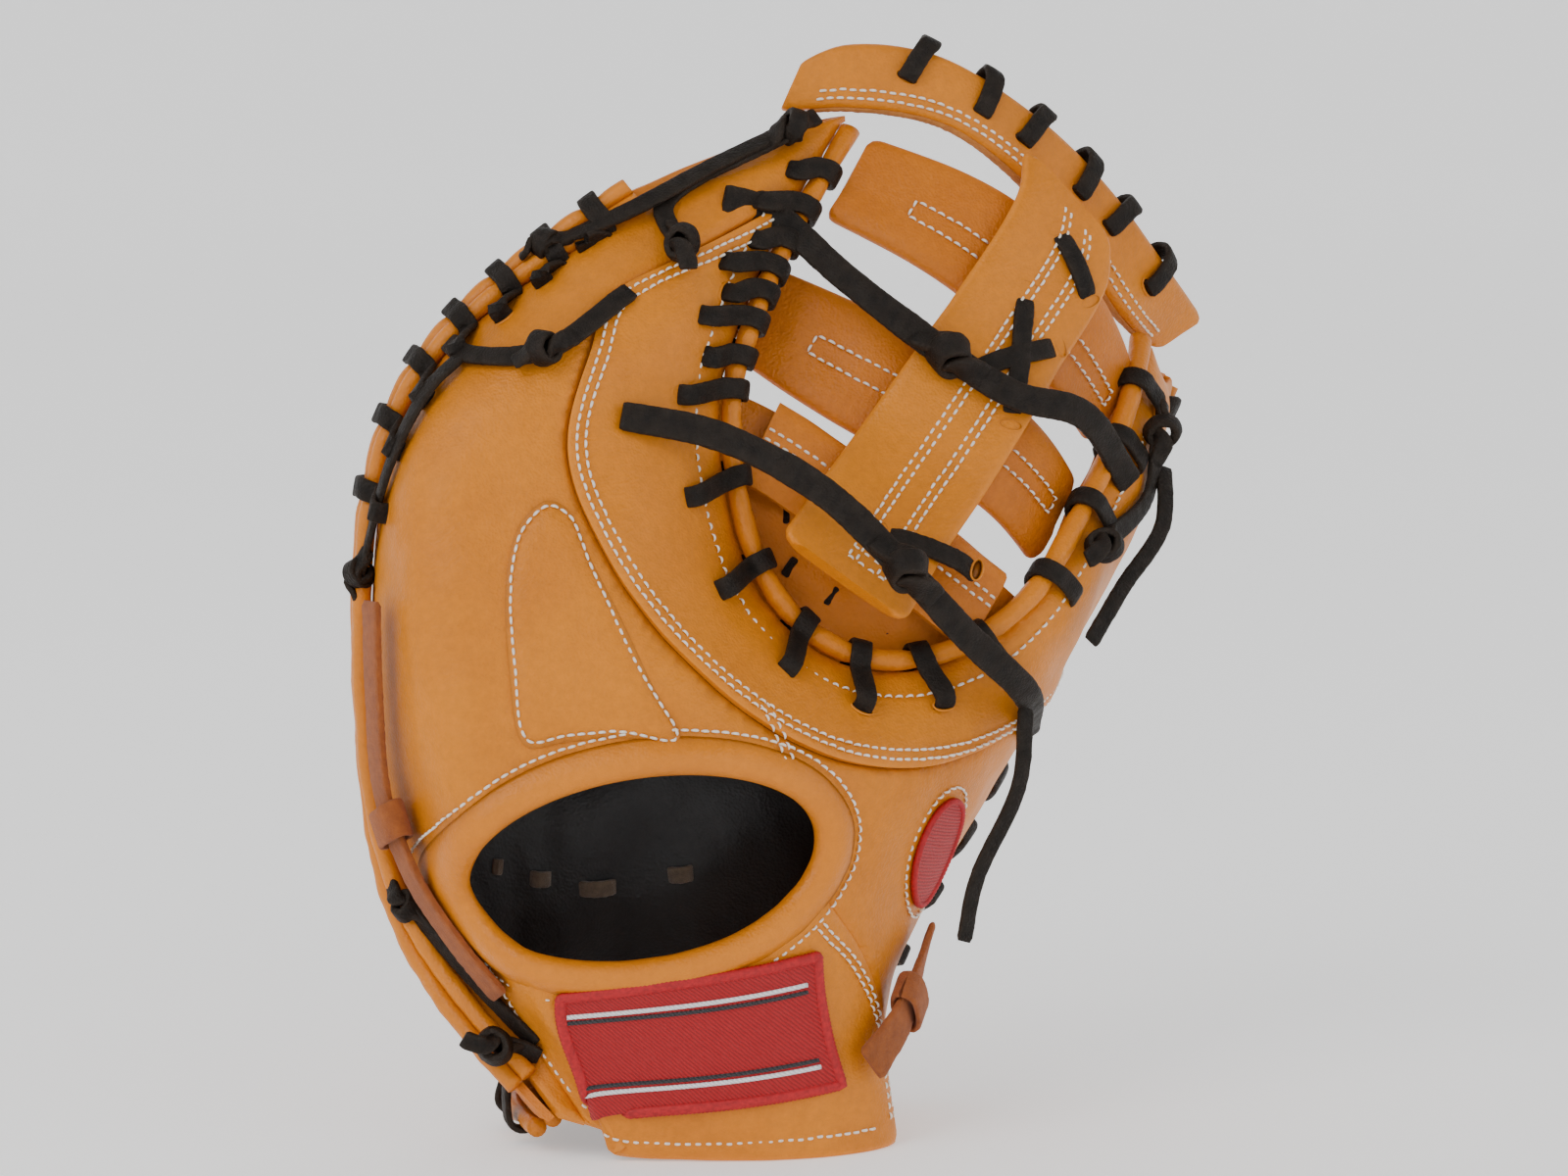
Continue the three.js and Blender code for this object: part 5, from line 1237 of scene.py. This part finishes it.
# laces of the edge that the solids leave out, each ending in a knot
dropLaces = {
    "sideLaceDrop": [[0.94, 0.69, 2.5], [0.95, 0.655, 3.5], [0.965, 0.6, 2.5], [0.985, 0.55, 2.5], [0.995, 0.518, 4]],
    "tipTail": [[0.8, 0.975, 5], [0.86, 0.955, 5], [0.93, 0.92, 5], [0.985, 0.875, 6]],
    "strapLaceDrop": [[0.915, 0.1, 2], [0.93, 0.14, 3], [0.96, 0.2, 3], [0.985, 0.25, 4]]}
dropCut = {"width": 5.6, "thickness": 2.0, "knot": 12.0, "knotWidth": 5.2, "knotThickness": 2.1}
for name, route in dropLaces.items():
    line, n = offBack(route)
    lacePiece(name, [ribbon(line, unit(np.cross(frameOf(line), n)), dropCut["width"], dropCut["thickness"]),
                     knot(line[-1], frameOf(line)[-1], n[-1], dropCut["knot"], dropCut["knotWidth"],
                          dropCut["knotThickness"])])

leatherTies = {
    "pinkyTie": {"node": "pinky_tie", "keeper": 0.52,
                 "route": [[0.955, 0.5, 5], [0.95, 0.44, 5.5], [0.945, 0.37, 6.5], [0.925, 0.3, 5.5], [0.9, 0.23, 4.5],
                           [0.885, 0.17, 4.0]]},
    "thumbTie": {"node": "thumb_tie", "keeper": 0.5,
                 "route": [[0.19, 0.285, 5], [0.215, 0.235, 7], [0.25, 0.175, 8], [0.285, 0.12, 7]]}}
tieCut = {"width": 12.0, "thickness": 2.4, "keeper": 11.0, "keeperThickness": 1.9}
for name, tie in leatherTies.items():
    line, n = offBack(tie["route"])
    both = smooth(np.c_[line, n], 1.5)
    line, n = both[:, :3], unit(both[:, 3:])
    side = unit(np.cross(frameOf(line), n))
    strip = ribbon(line, side, tieCut["width"], tieCut["thickness"], fray=0.09)
    # the keeper: a wide turn of the same leather round the strip
    k = int(tie["keeper"] * len(line))
    a = np.linspace(0, 2 * np.pi, 26)
    turn = (line[k] + side[k] * 8.2 * np.sign(np.cos(a))[:, None] * (np.abs(np.cos(a))**0.7)[:, None]
            + n[k] * 3.6 * np.sin(a)[:, None] + frameOf(line)[k] * 1.6 * np.cos(a)[:, None])
    wrap = ribbon(turn, np.tile(frameOf(line)[k], (len(a), 1)), tieCut["keeper"], tieCut["keeperThickness"],
                  taper=False)
    lacePiece(name, [strip, wrap], tie["node"], "suedeTan")
print("laces made")


# the web
webRows = shares([
    [[-0.004, 0.125, 0.703], [0.12, 0.11, 0.638], [0.24, 0.093, 0.572], [0.352, 0.13, 0.488]],
    [[0.016, 0.175, 0.716], [0.152, 0.125, 0.65], [0.296, 0.115, 0.588], [0.372, 0.17, 0.522]],
    [[0.064, 0.215, 0.797], [0.232, 0.185, 0.738], [0.364, 0.19, 0.662], [0.424, 0.255, 0.594]],
    [[0.124, 0.25, 0.841], [0.276, 0.22, 0.775], [0.388, 0.235, 0.688], [0.444, 0.305, 0.625]],
    [[0.18, 0.325, 0.912], [0.344, 0.295, 0.859], [0.452, 0.33, 0.769], [0.5, 0.42, 0.681]]])
webAcross, webAlong = splineBasis([0, 1 / 3, 2 / 3, 1]), splineBasis([0, 1, 2, 3, 4])


def web(a, b):
    a, b = np.broadcast_arrays(np.asarray(a, float), np.asarray(b, float))
    return np.einsum("nj,ni,jik->nk", webAlong(b), webAcross(a), webRows)


def webNormal(a, b):
    da = web(np.minimum(a + 0.01, 1), b) - web(np.maximum(a - 0.01, 0), b)
    db = web(a, np.minimum(b + 0.01, 4)) - web(a, np.maximum(b - 0.01, 0))
    return unit(np.cross(db, da))


def rounded(s, t):
    # draws the corners of a band's ends in, over a small share of its length
    x = np.minimum(np.minimum(s, 1 - s) / 0.03, 1)
    return 0.5 + (t - 0.5) * (1 - 0.16 * (1 - np.sqrt(1 - (1 - x)**2)))


def bandPiece(name, node, place, normal, thickness, hide, count, wave, flapAt=None):
    # a folded band: one long edge is the fold, the other shows two raw edges
    s = (1 - np.cos(np.pi * np.linspace(0, 1, count))) / 2 * 0.35 + np.linspace(0, 1, count) * 0.65
    across = np.array([0.0, 0.012, 0.04, 0.1, 0.18, 0.3, 0.42, 0.5, 0.58, 0.7, 0.82, 0.9, 0.96, 0.988, 1.0])
    half = np.array([0.0, 0.55, 0.85, 1, 1, 1, 1, 1, 1, 1, 1, 1, 0.85, 0.55, 0.0])
    top, under = [], []
    for t, h in zip(across, half):
        t = rounded(s, t)
        p, n = place(s, t), normal(s, t)
        puff = (1 + 0.16 * np.sin(np.pi * t))[:, None]
        uneven = ripple(p, 24, 0.35, wave)[:, None] * (0.3 + 0.7 * np.sin(np.pi * t))[:, None]
        step = -0.7 if flapAt is not None and t[len(t) // 2] > flapAt else 0.0
        top.append(p + n * (thickness / 2 * h * puff) + n * uneven)
        under.append(p - n * (thickness / 2 * h * puff + step * h) + n * uneven)
    rings = np.array(top + under[::-1][1:-1]).transpose(1, 0, 2)
    points, faces = sweep(rings)
    k = rings.shape[1]
    wearRow = np.zeros(k)
    wearRow[[0, 1, -1]] = 0.5
    wearRow[[len(across) - 1, len(across) - 2, len(across)]] = 0.5
    piece(name, points, faces, hide, [node], {"wear": np.tile(wearRow, count)}, sharp=50)


bars = {"barLower": {"node": "web_bar_lower", "row": 1.0}, "barUpper": {"node": "web_bar_upper", "row": 3.0}}
barEnd = (0.0, 0.985)


def alongBar(s):
    return barEnd[0] + (barEnd[1] - barEnd[0]) * np.asarray(s, float)


for name, bar in bars.items():
    row = bar["row"]
    bandPiece(name, bar["node"], lambda s, t: web(alongBar(s), row + t), lambda s, t: webNormal(alongBar(s), row + t),
              4.6, "palmHide", 90, 71 + int(row), flapAt=0.35)
    # two stitched rows with closed ends, one set each side of the post
    for start, end in ((0.16, 0.46), (0.66, 0.93)):
        s = alongBar(np.linspace(start, end, 50))
        rows = [np.stack([s, row + t + 0 * s], 1) for t in (0.42, 0.58)]
        loop = closeUp(np.vstack([rows[0], rows[1][::-1]]))
        p, n = web(loop[:, 0], loop[:, 1]), webNormal(loop[:, 0], loop[:, 1])
        sew(p - n * 2.55, -n)
        sew(p + n * 2.75, n)


def bandBetween(first, second):
    left, right = smooth(first, 1.0), smooth(second, 1.0)

    def edge(line, s):
        return readAt(line, np.clip(s, 0, 1) * (len(line) - 1))

    def place(s, t):
        s, t = np.asarray(s, float), np.asarray(t, float)[..., None] if np.ndim(t) else t
        return edge(left, s) * (1 - t) + edge(right, s) * t

    def normal(s, t):
        way = place(np.minimum(s + 0.02, 1), t) - place(np.maximum(s - 0.02, 0), t)
        return unit(np.cross(way, edge(right, s) - edge(left, s)))
    return place, normal


post = {"finger": [[0.35, 0.325, 0.895], [0.344, 0.28, 0.859], [0.276, 0.2, 0.775], [0.24, 0.165, 0.735],
                   [0.158, 0.1, 0.646], [0.118, 0.03, 0.61], [0.064, -0.075, 0.562]],
        "thumb": [[0.462, 0.335, 0.812], [0.452, 0.31, 0.769], [0.388, 0.21, 0.69], [0.368, 0.165, 0.662],
                  [0.306, 0.085, 0.586], [0.26, 0.02, 0.54], [0.208, -0.08, 0.482]],
        "lift": 5.1, "thickness": 3.6, "rows": (0.44, 0.5, 0.67, 0.73), "crossRows": (0.955, 0.93, 0.905)}
postPlace, postNormal = bandBetween(shares(post["finger"]), shares(post["thumb"]))
postSide = 1.0 if postNormal(np.array([0.5]), 0.5)[0, 1] < 0 else -1.0
postFace = lambda s, t: postPlace(s, t) + postNormal(s, t) * postSide * post["lift"]
bandPiece("webPost", "web_post", postFace, postNormal, post["thickness"], "webHide", 120, 81)


def sewPost(s, t):
    n = postNormal(s, t) * postSide
    sew(postFace(s, t) + n * 2.15, n)


s = np.linspace(0.04, 0.955, 120)
for t in post["rows"]:
    sewPost(s, t + 0 * s)
t = np.linspace(0.42, 0.75, 12)
for start in post["crossRows"]:
    sewPost(start + 0 * t, t)


crossings = [((0.23, 0.42), (0.49, 0.89)), ((0.46, 0.40), (0.28, 0.90)), ((0.095, 0.41), (0.157, 0.91)),
             ((0.86, 0.55), (0.8, 1.25))]


def crossLaces():
    # the short laces sewn through the post
    parts = []
    for (s0, t0), (s1, t1) in crossings:
        k = np.linspace(0, 1, 7)
        s, t = s0 + (s1 - s0) * k, t0 + (t1 - t0) * k
        n = postNormal(s, t) * postSide
        p = postFace(s, t)
        rise = np.array([-1.0, 2.4, 3.2, 3.5, 3.2, 2.4, -1.0])
        line = p + n * rise[:, None]
        parts.append(ribbon(line, np.cross(frameOf(line), n), laceCut["width"], laceCut["thickness"], step=1.0))
        for end in (0, -1):
            holes.append((p[end] + n[end] * 1.9, n[end], np.cross(n[end], unit(p[1] - p[0]))))
    lacePiece("postLaces", parts)


crossLaces()

crown = {"outer": [[0.098, 0.326, 0.985], [0.15, 0.332, 0.999], [0.252, 0.345, 0.99], [0.36, 0.375, 0.94],
                   [0.456, 0.435, 0.868], [0.535, 0.505, 0.785], [0.586, 0.605, 0.728]],
         "inner": [[0.07, 0.312, 0.936], [0.152, 0.315, 0.94], [0.262, 0.325, 0.925], [0.346, 0.345, 0.88],
                   [0.42, 0.39, 0.81], [0.472, 0.445, 0.745], [0.522, 0.555, 0.7]],
         "thickness": 6.0, "holes": [0.22, 0.34, 0.46, 0.58, 0.7, 0.82]}
crownPlace, crownNormal = bandBetween(shares(crown["inner"]), shares(crown["outer"]))
bandPiece("webCrown", "web_crown", crownPlace, crownNormal, crown["thickness"], "webHide", 150, 91)
crownSide = 1.0 if crownNormal(np.array([0.5]), 0.5)[0, 1] < 0 else -1.0


def crownTrim():
    s = np.linspace(0.06, 0.95, 160)
    for t in (0.14, 0.27):
        n = crownNormal(s, t + 0 * s)
        p = crownPlace(s, t + 0 * s)
        sew(p + n * crownSide * 3.5, n * crownSide)
        sew(p - n * crownSide * 3.5, -n * crownSide)
    # raw edge of the fold
    n = crownNormal(s, 0 * s)
    p = crownPlace(s, 0 * s)
    down = unit(p - crownPlace(s, 0 * s + 0.4))
    angles = np.linspace(0, 2 * np.pi, 10, endpoint=False)
    rings = ((p + down * 0.2)[:, None] + down[:, None] * 0.9 * np.cos(angles)[None, :, None]
             + n[:, None] * 1.9 * np.sin(angles)[None, :, None])
    rings = rings + dice.normal(size=rings.shape) * 0.07
    points, faces = sweep(rings)
    piece("crownRawEdge", points, faces, "rawEdge", sharp=0)
    parts = []
    for i, s0 in enumerate(crown["holes"]):
        s1 = np.array([s0])
        outer, inner = crownPlace(s1, 1.0)[0], crownPlace(s1, 0.0)[0]
        n = crownNormal(s1, 0.9)[0] * crownSide
        up = unit(outer - inner)
        w = unit(np.cross(up, n))
        hole = outer - up * 10
        lean = w * (2.4 if i % 2 else -2.4)
        stops = [hole - n * 4.6 - lean, hole - n * 4.4 + up * 2, outer - n * 4.5, outer + up * 2.6 - n * 3.2,
                 outer + up * 3.8, outer + up * 2.6 + n * 3.2, outer + n * 4.5 + lean * 0.5, hole + n * 4.6 + lean,
                 hole + n * 2.0 + lean]
        parts.append(turnOf(stops, w))
        holes.append((hole + n * 3.4 + lean, n, w))
        holes.append((hole - n * 3.4 - lean, -n, w))
    lacePiece("crownLace", parts, "crown_lace")


crownTrim()
print("web made")


# patches, bare of words
def patchPiece(name, node, chartOf, outlineXy, lift, stripes=(), border=1.9):
    uvRing = chartOf(outlineXy)
    uv, cells = netOf(uvRing, 1.2)
    wave = backWave(back.at(uv))
    points, faces = sheetOf(back, uv, cells, lift + 1.1 + wave, (lift - 0.4) + wave)
    piece(name, points, faces, "patchField", [node])
    # the border's close overcast thread, one small turn after another
    ring = closeUp(uvRing)
    line = resample(back.at(ring), 0.62)
    ringUv = resample(ring, 0.0025)
    n = back.normal(readAt(ringUv, np.linspace(0, len(ringUv) - 1, len(line))))
    way = frameOf(line)
    side = np.cross(way, n)
    wave = backWave(line)[:, None]
    angles = np.linspace(0, 2 * np.pi, 10, endpoint=False)
    fat = np.where(np.arange(len(line)) % 2, 1.0, 0.86)[:, None, None]
    rings = ((line + n * (lift + 0.75 + wave))[:, None] + fat * (side[:, None] * border * np.cos(angles)[None, :, None]
             + n[:, None] * 1.25 * np.sin(angles)[None, :, None]))
    points, faces = sweep(rings[:-1], closed=True)
    piece(name + "Border", points, faces, "patchBorder", sharp=0)
    for k, (route, width, hide) in enumerate(stripes):
        count = 70
        s = np.linspace(0, 1, count)[:, None]
        uvLine = chartOf(np.asarray(route[0]) * (1 - s) + np.asarray(route[1]) * s)
        q, m = back.at(uvLine), back.normal(uvLine)
        up = np.cross(m, frameOf(q))
        wave = backWave(q)
        half = width / 2
        section = [(-half, 0.9), (-half * 0.8, 1.45), (0, 1.65), (half * 0.8, 1.45), (half, 0.9)]
        rings = np.array([q + up * a + m * (lift + b + wave)[:, None] for a, b in section]).transpose(1, 0, 2)
        rings = rings + (np.arange(count) % 2)[:, None, None] * m[:, None] * 0.06
        points, faces = sweep(rings)
        piece(f"{name}Stripe{k}", points, faces, hide, sharp=0)


patch = {"width": 76.0, "height": 40.0, "lift": 1.6, "margin": 3.4,
         "corners": [[0.785, 0.034], [0.305, 0.098], [0.383, 0.271], [0.702, 0.203]]}
halfWidth, halfHeight = patch["width"] / 2, patch["height"] / 2
corners = np.array([[-halfWidth, -halfHeight], [halfWidth, -halfHeight],
                    [halfWidth, halfHeight], [-halfWidth, halfHeight]])


def patchChart(xy):
    # places on the strap patch, from its own middle, between its four corners on the leather
    xy = np.atleast_2d(np.asarray(xy, float))
    s, t = xy[:, :1] / halfWidth / 2 + 0.5, xy[:, 1:] / halfHeight / 2 + 0.5
    a, b, c, d = np.array(patch["corners"])
    return (a * (1 - s) + b * s) * (1 - t) + (d * (1 - s) + c * s) * t


ringXy = resample(closeUp(corners), 2.0)[:-1]
stripes = []
for edge in (1, -1):  # a white and a dark stripe in from each long edge
    for inward, hide, width in ((7.0, "stripeWhite", 1.5), (9.2, "stripeDark", 1.3)):
        y = edge * (halfHeight - inward)
        stripes.append((((patch["margin"] - halfWidth, y), (halfWidth - patch["margin"], y)), width, hide))
patchPiece("strapPatch", "strap_patch", patchChart, ringXy, patch["lift"], stripes)
oval = {"at": (0.255, 0.385), "width": 25.0, "height": 36.0}
ovalChart = chart(back, oval["at"])
a = np.linspace(0, 2 * np.pi, 60, endpoint=False)
ovalXy = np.stack([oval["width"] / 2 * np.cos(a), oval["height"] / 2 * np.sin(a)], 1)
patchPiece("thumbPatch", "thumb_patch", ovalChart, ovalXy * 0.93, 0.4, border=1.0)
sewOn(back, ovalChart(closeUp(ovalXy) * 1.16), 0.3)
print("patches made")

holeRims()
points, faces, _ = join(stitches)
piece("creamThreadRows", points, faces, "creamThread", sharp=0)
print(len(stitches), "stitches made")


# floor and light
paper = {"flat": 3.2, "wall": 4.2, "height": 4.0, "around": 72, "glow": 0.42}


def makeFloor():
    # a round sweep of paper, flat under the mitt and turned up far outside every view
    flat, count = paper["flat"], paper["around"]
    bend = [(flat + math.sin(k), 1 - math.cos(k)) for k in np.linspace(0.1, math.pi / 2, 14)]
    profile = [(flat, 0.0)] + bend + [(paper["wall"], paper["height"])]
    around = np.linspace(0, 2 * np.pi, count, endpoint=False)
    points = [(0, 0, 0)] + [(r * math.cos(a), r * math.sin(a), z) for r, z in profile for a in around]
    faces = [(0, 1 + i, 1 + (i + 1) % count) for i in range(count)]
    for j in range(len(profile) - 1):
        low, high = 1 + j * count, 1 + (j + 1) * count
        faces += [(low + i, high + i, high + (i + 1) % count, low + (i + 1) % count) for i in range(count)]
    mesh = bpy.data.meshes.new("floor")
    mesh.from_pydata(points, [], faces)
    mesh.polygons.foreach_set("use_smooth", [True] * len(faces))
    made, shader, links, make = nodeSet("floorPaper")
    white = make["ramp"](make["noise"](3), [(0.3, (0.88,) * 3), (0.7, (0.9,) * 3)])
    links.new(white, shader.inputs["Base Color"])
    shader.inputs["Roughness"].default_value = 0.8
    shader.inputs["Emission Color"].default_value = (1, 1, 1, 1)
    shader.inputs["Emission Strength"].default_value = paper["glow"]
    mesh.materials.append(made)
    floor = bpy.data.objects.new("floor", mesh)
    bpy.context.scene.collection.objects.link(floor)


lamps = {
    "keyLamp": {"place": (-1.1, -1.5, 1.9), "size": 1.3, "power": 21.0},
    "fillLamp": {"place": (1.7, -1.6, 1.0), "size": 1.6, "power": 4.0},
    "topLamp": {"place": (0.1, 0.5, 2.2), "size": 1.5, "power": 7.0}}


def makeLight():
    for name, lamp in lamps.items():
        data = bpy.data.lights.new(name, "AREA")
        data.size, data.energy = lamp["size"], lamp["power"]
        made = bpy.data.objects.new(name, data)
        made.location = lamp["place"]
        made.rotation_euler = (Vector((0, 0, 0.15)) - Vector(lamp["place"])).to_track_quat("-Z", "Y").to_euler()
        bpy.context.scene.collection.objects.link(made)
    world = bpy.context.scene.world or bpy.data.worlds.new("world")
    bpy.context.scene.world = world
    world.use_nodes = True
    background = world.node_tree.nodes["Background"]
    background.inputs["Color"].default_value = (1, 1, 1, 1)
    background.inputs["Strength"].default_value = 0.26


makeFloor()
makeLight()
print("floor and light made")
